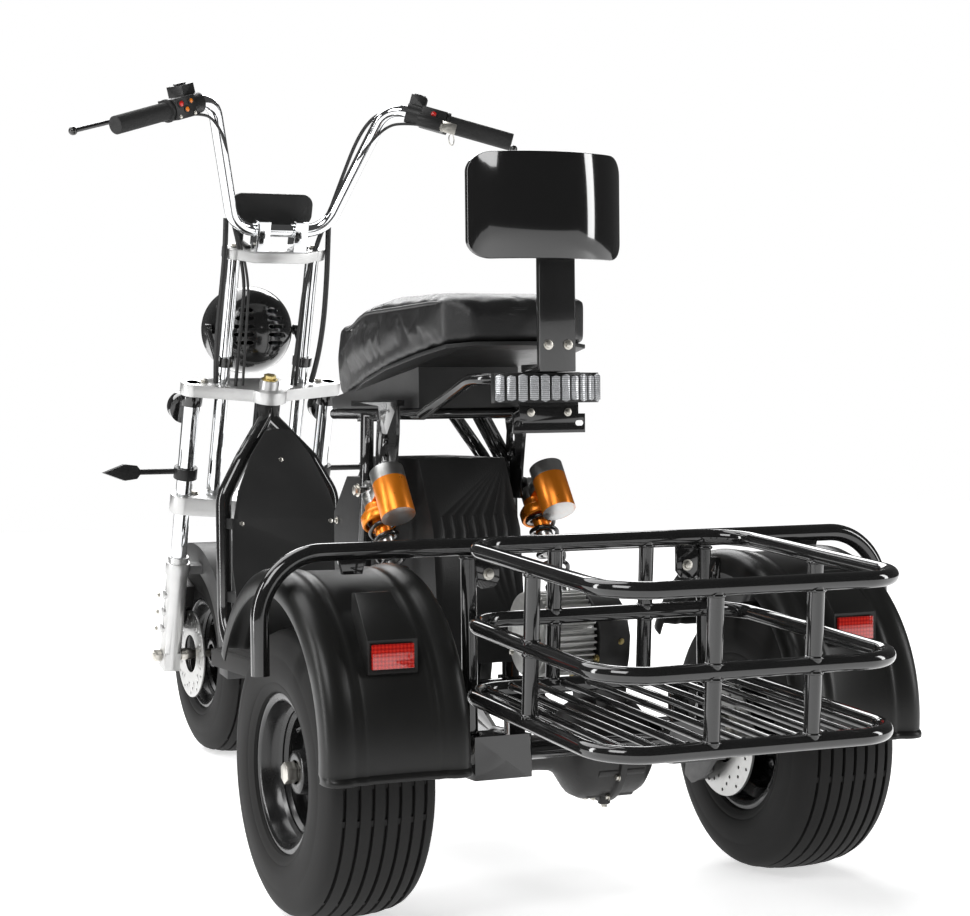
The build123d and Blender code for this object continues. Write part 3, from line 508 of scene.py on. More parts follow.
wheel("front_rim", front_hub, 1, "front_wheel", "rim_front", 5, brass_zinc)
wheel("left_rear_rim", rear_hubs["left"], 1, "rear_wheel_left", "rim_rear_left", 4, zinc)
wheel("right_rear_rim", rear_hubs["right"], -1, "rear_wheel_right", "rim_rear_right", 4, zinc)
brake_disc("front_disc", front_hub, 96, "front_wheel")
brake_disc("left_rear_disc", rear_hubs["left"], -100, "rear_wheel_left")
brake_disc("right_rear_disc", rear_hubs["right"], 100, "rear_wheel_right")
for side, s in (("left", 1), ("right", -1)):
    hub = rear_hubs[side]
    shaft = [post("shaft", (s * 310, hub[1], hub[2]), (hub[0] + s * 62, hub[1], hub[2]), 12.4, 32),
             post("nut", (hub[0] + s * 54.5, hub[1], hub[2]), (hub[0] + s * 70, hub[1], hub[2]), 15.5, 6),
             post("carrier", (s * 250, hub[1], hub[2]), (s * 300, hub[1], hub[2]), 33, 48)]
    softened(join(shaft), 0.8)
    fresh(side + "_half_shaft", "rear_wheel_" + side, "steel", zinc.material)


# ---- suspended rear carrier and drive ----------------------------------------------------
# The swinging carrier is two pierced side plates on a pivot tube. It holds the axle tube with
# its cast final drive, the finned motor above, a drilled disc's caliper inside each wheel.
machined("swing_arm", "carrier_frame", "rear_carrier", "frame_black", frame_enamel)
machined("pivot_bolt", "carrier_pivot", "frame", "steel", zinc.material, 0.4)

cast_black = Finish("cast_black", (0.014, 0.014, 0.014), 0.42)
grit = cast_black.speckle(160, 5)
cast_black.feed("Roughness", cast_black.between(grit, 0.3, 0.6))
cast_black.feed("Base Color", cast_black.two_tone(grit, (0.008, 0.008, 0.008), (0.026, 0.025, 0.024)))
cast_black.raised(grit, 0.0005, 0.45)

AXLE_Y, AXLE_Z, DRIVE_X = 570.0, 203.0, -55.0
axle = (0, AXLE_Y, AXLE_Z)
housing = turned("axle_housing", [(-249, 13), (-249, 25.6), (-160, 25.6), (-140, 27.5), (-128, 34),
    (-116, 52), (-104, 66), (-91, 72), (-61, 72), (-60, 79), (-50, 79), (-49, 72), (-19, 72), (-6, 66),
    (6, 50), (18, 34), (30, 27.5), (50, 25.6), (249, 25.6), (249, 13)], axle, steps=72)
ribs = [housing]
for n in range(8):
    turn = math.radians(22.5 + 45 * n)
    y, z = AXLE_Y + 67 * math.cos(turn), AXLE_Z + 67 * math.sin(turn)
    ribs.append(post("rib", (DRIVE_X - 37, y, z), (DRIVE_X + 37, y, z), 7, 16))
for y, z in ((-34, -68), (26, -70)):
    ribs.append(post("drain_lug", (DRIVE_X + 8, AXLE_Y + y, AXLE_Z + z + 18),
        (DRIVE_X + 8, AXLE_Y + y, AXLE_Z + z - 8), 9, 16))
softened(join(ribs), 1.2)
fresh("final_drive", "rear_carrier", "drive_cast", cast_black.material, "differential")
bolts("final_drive_bolts", "rear_carrier", zinc, [(spot, (1, 0, 0)) for spot in spokes((DRIVE_X, AXLE_Y,
    AXLE_Z), 75.5, 10, 5, 9)] + [((DRIVE_X + 8, AXLE_Y - 34, AXLE_Z - 76), (0, 0, -1)), ((DRIVE_X + 8,
    AXLE_Y + 26, AXLE_Z - 78), (0, 0, -1)), ((DRIVE_X + 5, AXLE_Y + 71, AXLE_Z + 10), (0, 1, 0.1))], 4.2, 4)


def slab(name, points, depth, edge=1.0, segments=2):
    """A flat shape drawn by its corners, given depth by an extrusion, with its edges rounded."""
    piece = outline(name, points)
    bpy.ops.mesh.edge_face_add()
    bpy.ops.mesh.extrude_region_move(TRANSFORM_OT_translate=pull(*depth))
    bpy.ops.mesh.select_all(action="SELECT")
    bpy.ops.mesh.normals_make_consistent(inside=False)
    leave()
    if edge:
        softened(piece, edge, segments)
    return piece


MOTOR_Y, MOTOR_Z = AXLE_Y - 12, 372.0
case_side = [(-40, 240), (34, 240), (34, 300), (46, 338), (50, 372), (38, 408), (12, 427), (-24, 430),
    (-50, 412), (-64, 380), (-60, 345), (-44, 305)]
gear_case = slab("gear_case", [(DRIVE_X - 24, AXLE_Y + y, z) for y, z in case_side], (48, 0, 0), 3.0, 3)
cover_plate = slab("cover_plate", [(DRIVE_X + 24, AXLE_Y + y * 0.86 - 1,
    340 + (z - 340) * 0.86) for y, z in case_side], (-54, 0, 0), 2.0, 2)
humps = [post("hump", (DRIVE_X - 34, MOTOR_Y + y, MOTOR_Z + z), (DRIVE_X + 22, MOTOR_Y + y, MOTOR_Z + z),
    r, 32) for y, z, r in ((0, 0, 40), (4, -78, 26), (-18, 42, 12), (36, 28, 10))]
softened(join([gear_case, cover_plate] + humps), 1.0)
fresh("gear_case", "rear_carrier", "drive_cast", cast_black.material)
bolts("gear_case_bolts", "rear_carrier", brass_zinc, [
    ((DRIVE_X + 24, AXLE_Y + y * 0.9, 340 + (z - 340) * 0.9), (1, 0, 0)) for y, z in case_side[1::2]] + [
    ((DRIVE_X - 10, AXLE_Y + 47, 362), (0, 1, 0.1)), ((DRIVE_X + 10, AXLE_Y + 36, 318), (0, 1, -0.2))], 4, 4)

motor_silver = Finish("motor_silver", (0.56, 0.56, 0.54), 0.38, 0.85)
fin_dust = motor_silver.speckle(60, 5, (0.4, 3, 3))
motor_silver.feed("Base Color", motor_silver.two_tone(fin_dust, (0.36, 0.36, 0.35), (0.70, 0.70, 0.68)))
motor_silver.feed("Roughness", motor_silver.between(fin_dust, 0.28, 0.55))
motor_silver.raised(motor_silver.speckle(200, 3), 0.0003, 0.3)
fins = []
for n in range(40):
    turn = 2 * math.pi * n / 40
    for step, radius in ((-1.6, 53.5), (-1.2, 61.6), (1.2, 61.6), (1.6, 53.5)):
        aim = turn + math.radians(step * 1.25)
        fins.append((-26, MOTOR_Y + radius * math.cos(aim), MOTOR_Z + radius * math.sin(aim)))
body = slab("motor_fins", fins, (72, 0, 0), 0.5)
end = turned("motor_end", [(46, 0), (46, 60), (52, 61.6), (57, 61.6), (60, 56), (62, 34), (66, 30), (66, 0)],
             (0, MOTOR_Y, MOTOR_Z), steps=64)
softened(join([body, end]), 0.5, 2, 45)
fresh("hub_motor", "rear_carrier", "motor_silver", motor_silver.material, "motor")
bolts("motor_bolts", "rear_carrier", zinc, [(spot, (1, 0, 0)) for spot in spokes((0, MOTOR_Y, MOTOR_Z), 48,
    5, 60.5)], 3.6, 3.5)

caliper_grey = Finish("caliper_grey", (0.10, 0.10, 0.10), 0.45, 0.3)
caliper_grey.feed("Roughness", caliper_grey.between(caliper_grey.speckle(110, 4), 0.35, 0.6))
caliper_grey.raised(caliper_grey.speckle(200, 4), 0.0004, 0.4)


for side, s in (("left", 1), ("right", -1)):
    mount = slab("mount", [(s * 240, AXLE_Y + y, AXLE_Z + z) for y, z in ((-78, -66), (-58, -76),
        (-20, -62), (14, -30), (16, 26), (0, 34), (-24, 32), (-66, -4))], (s * 6, 0, 0), 1.2)
    bore = post("bore", (s * 230, AXLE_Y, AXLE_Z), (s * 250, AXLE_Y, AXLE_Z), 26.2, 40)
    carve(mount, bore)
    jaws = [slab("jaw", [(x, AXLE_Y + y, AXLE_Z + z) for y, z in (
        (-79, -66), (-54, -70), (-24, -56), (-24, -32), (-44, -26), (-76, -32))], (s * 8.5, 0, 0), 1.6)
        for x in (s * 251, s * 266.5)]
    bridge = slab("bridge", [(s * 248, AXLE_Y + y, AXLE_Z + z) for y, z in ((-79.5, -62), (-70, -69),
        (-52, -72), (-52, -66), (-68, -62), (-74, -52), (-79.5, -52))], (s * 29, 0, 0), 1.2)
    piston = post("piston", (s * 273, AXLE_Y - 50, AXLE_Z - 48), (s * 279, AXLE_Y - 50, AXLE_Z - 48), 15, 32)
    softened(join([mount] + jaws + [bridge, piston]), 0.8)
    fresh(side + "_rear_caliper", "rear_carrier", "drive_cast", caliper_grey.material,
          *(["rear_calipers"] if side == "left" else []))
    bolts(side + "_caliper_bolts", "rear_carrier", zinc, [((s * 275, AXLE_Y - 70, AXLE_Z - 40), (s, 0, 0)),
        ((s * 275, AXLE_Y - 32, AXLE_Z - 50), (s, 0, 0))], 4.5, 3.5)


# ---- rear mudguards and reflectors -------------------------------------------------------
# Two moulded plastic arches with a rolled shoulder and a low rib along each side, a rolled
# lip across the lower edge, and a wedge-shaped housing with a red reflector in it.
guard_black = Finish("guard_black", (0.008, 0.008, 0.008), 0.34, Specular_IOR_Level=0.3)
guard_cloud = guard_black.speckle(7, 4)
guard_black.feed("Base Color", guard_black.two_tone(guard_cloud, (0.006, 0.006, 0.006),
    (0.012, 0.012, 0.0112)))
guard_black.feed("Roughness", guard_black.between(guard_black.speckle(30, 4), 0.3, 0.42))
guard_black.raised(guard_black.speckle(900, 2), 0.00012, 0.5)
reflector_red = Finish("reflector_red", (0.62, 0.02, 0.008), 0.12, Coat_Weight=1.0, Coat_Roughness=0.05)
prism_relief_and_painted_shade = abs((reflector_red.along(0) % 0.0052) - 0.0026) + abs((reflector_red.along(2) % 0.0052) - 0.0026)
# Painted highlight and shade: each prism cell is painted bright red in its middle and darker towards its
# corners. The same pattern also drives the bump.
reflector_red.feed("Base Color", reflector_red.two_tone(prism_relief_and_painted_shade * 260, (0.62, 0.022, 0.010),
    (0.30, 0.004, 0.003)))
reflector_red.raised(prism_relief_and_painted_shade * 300, 0.0004, 0.35)
GUARD_Y, GUARD_Z, GUARD_R, GUARD_X = AXLE_Y + 4, 250.0, 235.0, 252.0
across_guard = [(0, -34), (0, -24), (0.8, -16), (3.5, -9), (8, -4), (14, -1), (22, 0), (31, -1),
    (38, -3.6), (43, -5), (48, -4.4), (52, -3.4), (56, -4.4), (62, -6), (103.5, -6.4)]
across_guard += [(207 - x, h) for x, h in reversed(across_guard[:-1])]
for side, s in (("left", 1), ("right", -1)):
    low = math.radians(-5)
    rear_edge = [(s * (GUARD_X + x), GUARD_Y + (GUARD_R + h) * math.cos(low),
        GUARD_Z + (GUARD_R + h) * math.sin(low)) for x, h in across_guard]
    guard = outline("guard", rear_edge, close=False)
    bpy.ops.mesh.spin(steps=79, angle=math.radians(158), center=Vector((0, GUARD_Y, GUARD_Z)) * MM,
        axis=(-1, 0, 0))

    def on_rear_edge(middle, boundary):
        slope = GUARD_Z + (middle.y - GUARD_Y) * math.tan(low) + 0.8
        return boundary and middle.y > GUARD_Y + 150 and middle.z < slope

    pick(guard, "edges", on_rear_edge)
    bpy.ops.mesh.extrude_region_move(TRANSFORM_OT_translate=pull(0, 3.4, -2.2))
    bpy.ops.mesh.extrude_region_move(TRANSFORM_OT_translate=pull(0, 1.6, -3.4))
    bpy.ops.mesh.extrude_region_move(TRANSFORM_OT_translate=pull(0, -0.6, -4.4))
    bpy.ops.mesh.extrude_region_move(TRANSFORM_OT_translate=pull(0, -2.6, -1.0))
    bpy.ops.mesh.select_all(action="SELECT")
    bpy.ops.mesh.normals_make_consistent(inside=False)
    leave()
    modifier(guard, "SOLIDIFY", thickness=2.6 * MM, offset=-1)
    pod_y = AXLE_Y + 212
    wedge = begin("cube", "wedge", size=1)
    edit()
    bpy.ops.transform.resize(value=(70 * MM, 60 * MM, 44 * MM))
    bpy.ops.transform.translate(value=(s * (GUARD_X + 105) * MM, (pod_y - 30) * MM, 380 * MM))
    pick(wedge, "faces", lambda middle, normal: normal.z > 0.9)
    bpy.ops.mesh.extrude_region_move(TRANSFORM_OT_translate=pull(0, -44, 56))
    bpy.ops.transform.resize(value=(0.72, 0.2, 1), center_override=(s * (GUARD_X + 105) * MM,
        (pod_y - 74) * MM, 0))
    pick(wedge, "faces", lambda middle, normal: normal.z < -0.9)
    bpy.ops.mesh.extrude_region_move(TRANSFORM_OT_translate=pull(0, -20, -16))
    bpy.ops.transform.resize(value=(0.94, 0.4, 1), center_override=(s * (GUARD_X + 105) * MM,
        (pod_y - 60) * MM, 0))
    pick(wedge, "faces", lambda middle, normal: normal.y > 0.9 and abs(middle.z - 380) < 3)
    bpy.ops.mesh.inset(thickness=5 * MM, depth=-2.5 * MM)
    leave()
    softened(join([guard, wedge]), 0.7, 2, 50)
    fresh(side + "_mudguard", "rear_carrier", "plastic_grey", guard_black.material,
          *(["rear_fenders"] if side == "left" else []))
    lens = slab("reflector", [(s * (GUARD_X + 105) + x, pod_y - 3, 380 + z) for x, z in (
        (-29.4, -16.4), (29.4, -16.4), (29.4, 16.4), (-29.4, 16.4))], (0, 6, 0), 1.2)
    fresh(side + "_reflector", "rear_carrier", "reflector_red", reflector_red.material,
          *(["rear_reflectors"] if side == "left" else []))


# ---- grab bar and cargo basket -----------------------------------------------------------
# One bent tube runs over both mudguards to open ends beside them. Behind it sits the basket:
# three tipped rings of tube, six upright posts welded between them, and a slatted floor.
rack_enamel = enamel("rack_enamel", 0.008, 0.07)


def tube(name, points, radius, bends=None, sides=28, steps=14, bore=0.0):
    """A tube drawn along straight runs, each corner a spun arc; bore opens its two ends."""
    points = [Vector(p) * MM for p in points]
    bends = bends or [0] * (len(points) - 2)
    run = (points[1] - points[0]).normalized()
    piece = begin("circle", name, vertices=sides, radius=radius * MM, fill_type="NOTHING",
                  location=points[0], rotation=run.to_track_quat("Z", "Y").to_euler())
    bpy.ops.object.transform_apply(location=True, rotation=True, scale=True)
    edit()
    bpy.ops.mesh.select_mode(type="VERT")
    bpy.ops.mesh.select_all(action="SELECT")
    at = points[0]
    for n in range(1, len(points)):
        run = (points[n] - points[n - 1]).normalized()
        last = n == len(points) - 1
        if not last:
            onward = (points[n + 1] - points[n]).normalized()
            turn, bend = run.angle(onward), bends[n - 1] * MM
        stop = points[n] if last else points[n] - run * (bend * math.tan(turn / 2))
        bpy.ops.mesh.extrude_region_move(TRANSFORM_OT_translate={"value": stop - at})
        at = stop
        if not last:
            hinge = run.cross(onward).normalized()
            bpy.ops.mesh.spin(steps=steps, angle=-turn, center=stop + hinge.cross(run) * bend, axis=hinge)
            at = points[n] + onward * (bend * math.tan(turn / 2))
    bpy.ops.mesh.select_all(action="SELECT")
    bpy.ops.mesh.remove_doubles(threshold=SAME_POINT)
    for tip, beside in ((points[0], points[1]), (points[-1], points[-2])):
        away = (tip - beside).normalized()
        pick(piece, "edges",
             lambda middle, boundary: boundary and (middle * MM - tip).length < radius * MM * 1.05)
        bpy.ops.mesh.edge_face_add()
        if bore:
            bpy.ops.mesh.inset(thickness=(radius - bore) * MM, depth=0)
            bpy.ops.mesh.extrude_region_move(TRANSFORM_OT_translate={"value": away * -0.05})
    bpy.ops.mesh.select_all(action="SELECT")
    bpy.ops.mesh.normals_make_consistent(inside=False)
    leave()
    smooth(40)
    return piece


def weld(spot, direction, radius, bead=2.2):
    """A welded bead round the foot of a tube."""
    piece = begin("torus", "weld", major_radius=(radius + 0.2) * MM, minor_radius=bead * MM,
        major_segments=28, minor_segments=8, location=Vector(spot) * MM,
        rotation=Vector(direction).to_track_quat("Z", "Y").to_euler())
    bpy.ops.object.transform_apply(location=True, rotation=True, scale=True)
    smooth(60)
    return piece


GRAB_X, GRAB_Y, GRAB_Z, GRAB_R = 491.0, 646.0, 509.0, 12.5
UPRIGHT_X = 187
grab = tube("grab_bar", [(GRAB_X, GRAB_Y, 348), (GRAB_X, GRAB_Y, GRAB_Z), (-GRAB_X, GRAB_Y, GRAB_Z),
                         (-GRAB_X, GRAB_Y, 348)], GRAB_R, (88, 88), bore=10.5, steps=18)
parts = [grab]
for s in (1, -1):
    ear = [(s * x, GRAB_Y - 3, z) for x, z in (
        (141, 500), (141, 462), (148, 452), (168, 450), (180, 458), (190, 500))]
    guard_tab = [(s * x, GRAB_Y - 5, z) for x, z in ((340, 500), (346, 478), (374, 478), (380, 500))]
    basket_tie = [(s * 104, GRAB_Y + y, z) for y, z in ((4, 503), (34, 499), (36, 512), (4, 517))]
    parts += [tube("upright", [(s * UPRIGHT_X, GRAB_Y, 250.2), (s * UPRIGHT_X, GRAB_Y, 498)], 11),
              slab("ear", ear, (0, 6, 0), 0.8), slab("guard_tab", guard_tab, (0, 10, 0), 0.8),
              slab("basket_tie", basket_tie, (s * 18, 0, 0), 0.8),
              weld((s * UPRIGHT_X, GRAB_Y, 494), (0, 0, 1), 11),
              weld((s * UPRIGHT_X, GRAB_Y, 251.5), (0, 0, 1), 11)]
join(parts)
fresh("grab_rail", "rear_carrier", "frame_black", rack_enamel, "grab_bar")
bolts("grab_bar_bolts", "rear_carrier", zinc, [((s * 158, GRAB_Y + 3, 470), (0, 1, 0)) for s in (1, -1)] +
      [((s * 158, GRAB_Y - 3, 470), (0, -1, 0)) for s in (1, -1)], 6.2, 5)

RING_REAR, RING_Z, TIP = 1107.5, 281.0, math.radians(4.15)
LENGTH, HALF, TALL, BASKET_R = 438.0, 213.0, 200.53, 11.0
RING_HEIGHTS = (0, 97.0, TALL)


def tipped(x, back, up):
    """A point of the basket: back is negative towards the seat, up is square to its floor."""
    return (x, RING_REAR + back * math.cos(TIP) + up * math.sin(TIP),
            RING_Z - back * math.sin(TIP) + up * math.cos(TIP))


parts, beads = [], []
for up in RING_HEIGHTS:
    corners = [(0, 0), (HALF, 0), (HALF, -LENGTH), (-HALF, -LENGTH), (-HALF, 0), (0, 0)]
    parts.append(tube("ring", [tipped(x, y, up) for x, y in corners], BASKET_R, (65,) * 4))
for x, y in ((72, 0), (-72, 0), (72, -LENGTH), (-72, -LENGTH), (HALF, -LENGTH / 2), (-HALF, -LENGTH / 2)):
    parts.append(tube("post", [tipped(x, y, 0), tipped(x, y, TALL)], BASKET_R - 0.5))
    lift = Vector(tipped(0, 0, 1)) - Vector(tipped(0, 0, 0))
    for up in RING_HEIGHTS:
        for rise in (-1, 1):
            if 0 <= up + rise <= TALL:
                beads.append(weld(tipped(x, y, up + rise * 9.6), lift, BASKET_R - 1.0, 2.4))
for n in range(10):
    x = -180 + 40 * n
    reach = 4 if abs(x) < 150 else 14
    parts.append(tube("slat", [tipped(x, -reach, 4), tipped(x, -LENGTH + reach, 4)], 5, sides=16))
    for y in (-reach - 6.5, -LENGTH + reach + 6.5):
        beads.append(weld(tipped(x, y, 4), Vector(tipped(0, 1, 0)) - Vector(tipped(0, 0, 0)), 4.8, 1.6))
join(parts + beads)
fresh("cargo_basket", "rear_carrier", "frame_black", rack_enamel, "basket")


# ---- rear suspension units ---------------------------------------------------------------
# Two coil-over dampers lean between the slotted plates and the carrier. Each has a silver eye,
# an orange adjusting collar, a black spring, and a gas bottle with an orange band behind it.
def along_line(finish, start, run):
    """Distance in mm along a line, read at each point of a surface."""
    here = finish.node("ShaderNodeVectorMath", {"operation": "SUBTRACT"}, {0: finish.place(),
        1: tuple(Vector(start) * MM)})
    return finish.node("ShaderNodeVectorMath", {"operation": "DOT_PRODUCT"},
                       {0: here, 1: tuple(Vector(run).normalized() / MM)}, 1)


SHOCK_TOP, SHOCK_EYE = Vector((138.0, 171.0, 571.0)), Vector((138.0, 299.0, 388.0))
shock_run = (SHOCK_EYE - SHOCK_TOP).normalized()
damper = Finish("damper_body", (0.5, 0.5, 0.5), 0.3, 1.0)
down = along_line(damper, (0, SHOCK_TOP.y, SHOCK_TOP.z), (0, shock_run.y, shock_run.z))
band = (down > 30.0) * (down < 92.0)
damper.feed("Base Color", damper.two_tone(band, (0.55, 0.55, 0.54), (0.80, 0.23, 0.012)))
damper.feed("Roughness", damper.between(damper.speckle(90, 4), 0.22, 0.4))
damper.feed("Metallic", 1.0 - band * 0.45)
collar_orange = Finish("collar_orange", (0.82, 0.24, 0.012), 0.28, 0.55)
collar_orange.feed("Roughness", collar_orange.between(collar_orange.speckle(60, 3), 0.2, 0.36))
spring_black = enamel("spring_black", 0.012, 0.14)
rod_steel = Finish("rod_steel", (0.62, 0.62, 0.62), 0.16, 1.0)
rod_steel.feed("Roughness", rod_steel.between(rod_steel.speckle(40, 3, (6, 1, 1)), 0.1, 0.26))
for side, s in (("left", 1), ("right", -1)):
    hung, moving = "shock_%s_body" % side, "shock_%s_rod" % side
    top = Vector((s * SHOCK_TOP.x, SHOCK_TOP.y, SHOCK_TOP.z))
    machined("shock_%s_upper" % side, side + "_damper", hung, "shock_orange", damper.material, 0.8)
    machined("shock_%s_lower" % side, side + "_damper_rod", moving, "steel", rod_steel.material, 0.5)
    machined("shock_%s_spring" % side, side + "_spring", hung, "spring_steel", spring_black)
    collar = turned("collar", [(46, 24.5), (46, 28.5), (49, 30), (61, 30), (64, 28.5), (64, 24.5)], top,
        shock_run, 36)
    softened(collar, 0.8)
    fresh(side + "_collar", hung, "shock_orange", collar_orange.material)
    bolts(side + "_shock_bolts", "frame", zinc, [((s * 162.2, top.y, top.z), (s, 0, 0))], 8, 6)
    bolts(side + "_eye_bolts", "rear_carrier", zinc, [((s * 162.2, SHOCK_EYE.y, SHOCK_EYE.z), (s, 0, 0))],
        8, 6)

# ---- footboard and its rubber mat --------------------------------------------------------
# A pressed steel plate lies over the two low rails with its sides turned down, and carries a
# ribbed rubber mat for the rider's feet.
mat_rubber = Finish("mat_rubber", (0.018, 0.018, 0.018), 0.7, Specular_IOR_Level=0.3)
ribs = abs((mat_rubber.along(0) % 0.016) - 0.008)
mat_rubber.feed("Base Color", mat_rubber.two_tone(mat_rubber.speckle(12, 5), (0.012, 0.012, 0.012),
    (0.028, 0.027, 0.026)))
mat_rubber.raised(ribs * 125.0, 0.0016, 0.8)
machined("floor_plate", "footboard", "frame", "frame_black", mat_rubber.material, 1.2)
bolts("footboard_bolts", "frame", zinc, [((s * 110, y, 252.4), (0, 0, 1)) for s in (1, -1) for y in (-545,
    -180)], 6, 3)


# ---- front cover -------------------------------------------------------------------------
# A spade-shaped shield of grained black plastic fixed to the two front frame tubes by screws.
# Two raised arches stand one inside the other on its face, over five short level ribs.
def moulded(name, depth=0.014, gloss=0.42, grain=700, coarse=0.00018):
    plastic = Finish(name, (depth,) * 3, gloss, Specular_IOR_Level=0.28)
    shade = plastic.speckle(9, 4)
    plastic.feed("Base Color", plastic.two_tone(shade, (depth * 0.8,) * 3, (depth * 1.45,) * 3))
    plastic.feed("Roughness", plastic.between(plastic.speckle(26, 4), gloss * 0.85, gloss * 1.2))
    plastic.raised(plastic.cells(grain), coarse, 0.55)
    return plastic.material


cover_plastic = moulded("cover_plastic", 0.016, 0.45)
machined("front_cover", "front_shield", "frame", "plastic_matte", cover_plastic, 1.0)


def on_cover(x, z, out=0.0):
    """A point on the cover's face towards the seat, out from it by a few millimetres."""
    return (x, -564.0 - (z - 240.0) * 104.0 / 450.0 + out, z)


trim = []
for reach, low, high in ((74, 300, 560), (56, 300, 524)):
    arch = [(-reach * 0.86, low), (-reach, (low + high) / 2), (-reach * 0.5, high), (reach * 0.5, high),
            (reach, (low + high) / 2), (reach * 0.86, low)]
    trim.append(tube("arch", [on_cover(x, z, 1.2) for x, z in arch], 2.6, (60, 40, 40, 60), sides=12,
        steps=6))
for n in range(5):
    z = 316 + 22 * n
    trim.append(tube("slot_rib", [on_cover(-40, z, 0.8), on_cover(40, z, 0.8)], 2.0, sides=10))
join(trim)
fresh("front_cover_ribs", "frame", "plastic_matte", cover_plastic)
bolts("front_cover_screws", "frame", zinc, [(on_cover(0, 600, 0.3), (0, 0.974, 0.225)),
                                            (on_cover(90, 480, 0.3), (0, 0.974, 0.225)),
                                            (on_cover(-90, 480, 0.3), (0, 0.974, 0.225))], 5, 2.5)

# ---- battery box and side covers ---------------------------------------------------------
# A tall moulded box between the seat posts holds the battery, with seven louvres in its back.
# A plain moulded cover closes each side of it, held by four screws.
box_plastic = moulded("box_plastic", 0.013, 0.36, 560)
machined("battery_case", "battery_box", "frame", "plastic_matte", box_plastic, 1.6)
machined("side_covers", "side_panels", "frame", "plastic_grey", moulded("side_plastic", 0.02, 0.4, 560), 1.6)
pack_blue = Finish("pack_blue", (0.02, 0.06, 0.16), 0.4)
pack_blue.feed("Roughness", pack_blue.between(pack_blue.speckle(30, 3), 0.3, 0.5))
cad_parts["battery_pack"].data.materials.clear()
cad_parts["battery_pack"].data.materials.append(pack_blue.material)
bolts("side_cover_screws", "frame", zinc, [((s * 95.6, y, z), (s, 0, 0)) for s in (1, -1) for y, z in (
    (-96, 290), (-96, 510), (96, 290), (96, 570))], 4.5, 2.5)


# ---- seat --------------------------------------------------------------------------------
# A long moulded pan hinges at the front of the seat rails and carries a foam cushion under
# black vinyl, with a welt sewn round its upper edge and two seams across its top.
def plump(name, node, body, slot, finish, voxel=5.5, round_off=10, cap=7.0, shrink=0.0):
    """A foam pad's cover: the plain form remeshed, rounded, and swollen by cloth under pressure."""
    deselect()
    piece = bpy.data.objects.new(name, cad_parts[node].data.copy())
    bpy.context.scene.collection.objects.link(piece)
    bpy.context.view_layer.objects.active = piece
    piece.select_set(True)
    edit()
    bpy.ops.mesh.select_all(action="SELECT")
    bpy.ops.mesh.remove_doubles(threshold=SAME_POINT)
    if shrink:
        bpy.ops.mesh.normals_make_consistent(inside=False)
        bpy.ops.transform.shrink_fatten(value=-shrink * MM)
    leave()
    modifier(piece, "REMESH", mode="VOXEL", voxel_size=voxel * MM)
    modifier(piece, "SMOOTH", factor=0.5, iterations=round_off)
    start = [v.co.copy() for v in piece.data.vertices]
    cloth = piece.modifiers.new("cloth", "CLOTH")
    cloth.settings.quality = 4
    cloth.settings.use_pressure = True
    cloth.settings.uniform_pressure_force = 4
    cloth.settings.effector_weights.gravity = 0
    for step in range(1, 21):
        bpy.context.scene.frame_set(step)
    deselect()
    bpy.context.view_layer.objects.active = piece
    piece.select_set(True)
    bpy.ops.object.modifier_apply(modifier="cloth")
    bpy.context.scene.frame_set(1)
    for v, rest in zip(piece.data.vertices, start):
        move = v.co - rest
        if move.length > cap * MM:
            v.co = rest + move * (cap * MM / move.length)
    modifier(piece, "SUBSURF", levels=1, render_levels=1)
    for face in piece.data.polygons:
        face.use_smooth = True
    bpy.context.view_layer.objects.active = piece
    fresh(name, body, slot, finish, node)
    return piece


vinyl = Finish("seat_vinyl", (0.016, 0.016, 0.017), 0.38, Specular_IOR_Level=0.5)
vinyl.feed("Base Color", vinyl.two_tone(vinyl.speckle(7, 5), (0.007, 0.007, 0.0075), (0.014, 0.0138, 0.0136)))
grain = vinyl.cells(520, "DISTANCE_TO_EDGE")
vinyl.feed("Roughness", vinyl.between(vinyl.speckle(22, 4), 0.30, 0.46))
vinyl.raised(grain + vinyl.speckle(40, 3) * 0.6, 0.0007, 0.55)
cushion = plump("seat_cover", "seat_cushion", "seat", "seat_skin", vinyl.material)
machined("seat_base", "seat_pan", "seat", "plastic_matte",
         moulded("pan_plastic", 0.02, 0.4, 500), 1.2)


def on_top(piece, x, y):
    """The height of a pad's upper surface over a point, in mm."""
    found, spot, _, _ = piece.ray_cast(Vector((x, y, 1100)) * MM, Vector((0, 0, -1)))
    return spot.z / MM if found else None


def seat_reach(y):
    plan = [(-191, 30), (-155, 62), (-60, 84), (60, 112), (200, 135), (330, 135), (402, 124), (440, 84)]
    for (y0, x0), (y1, x1) in zip(plan, plan[1:]):
        if y0 <= y <= y1:
            return x0 + (x1 - x0) * (y - y0) / (y1 - y0)
    return 0


def drawn_line(name, points, radius, closed=False):
    """A cord drawn on one smooth curve through the space between its ends, made a mesh."""
    line = bpy.data.curves.new(name, "CURVE")
    line.dimensions = "3D"
    spline = line.splines.new("NURBS")
    spline.points.add(len(points) - 1)
    for knot, spot in zip(spline.points, points):
        knot.co = (*(Vector(spot) * MM), 1.0)
    spline.order_u = 3
    spline.use_endpoint_u = not closed
    spline.use_cyclic_u = closed
    spline.resolution_u = 14
    line.bevel_depth, line.bevel_resolution, line.use_fill_caps = radius * MM, 3, not closed
    drawn = bpy.data.objects.new(name, line)
    bpy.context.scene.collection.objects.link(drawn)
    deselect()
    bpy.context.view_layer.objects.active = drawn
    drawn.select_set(True)
    bpy.ops.object.convert(target="MESH")
    for face in bpy.context.object.data.polygons:
        face.use_smooth = True
    return bpy.context.object


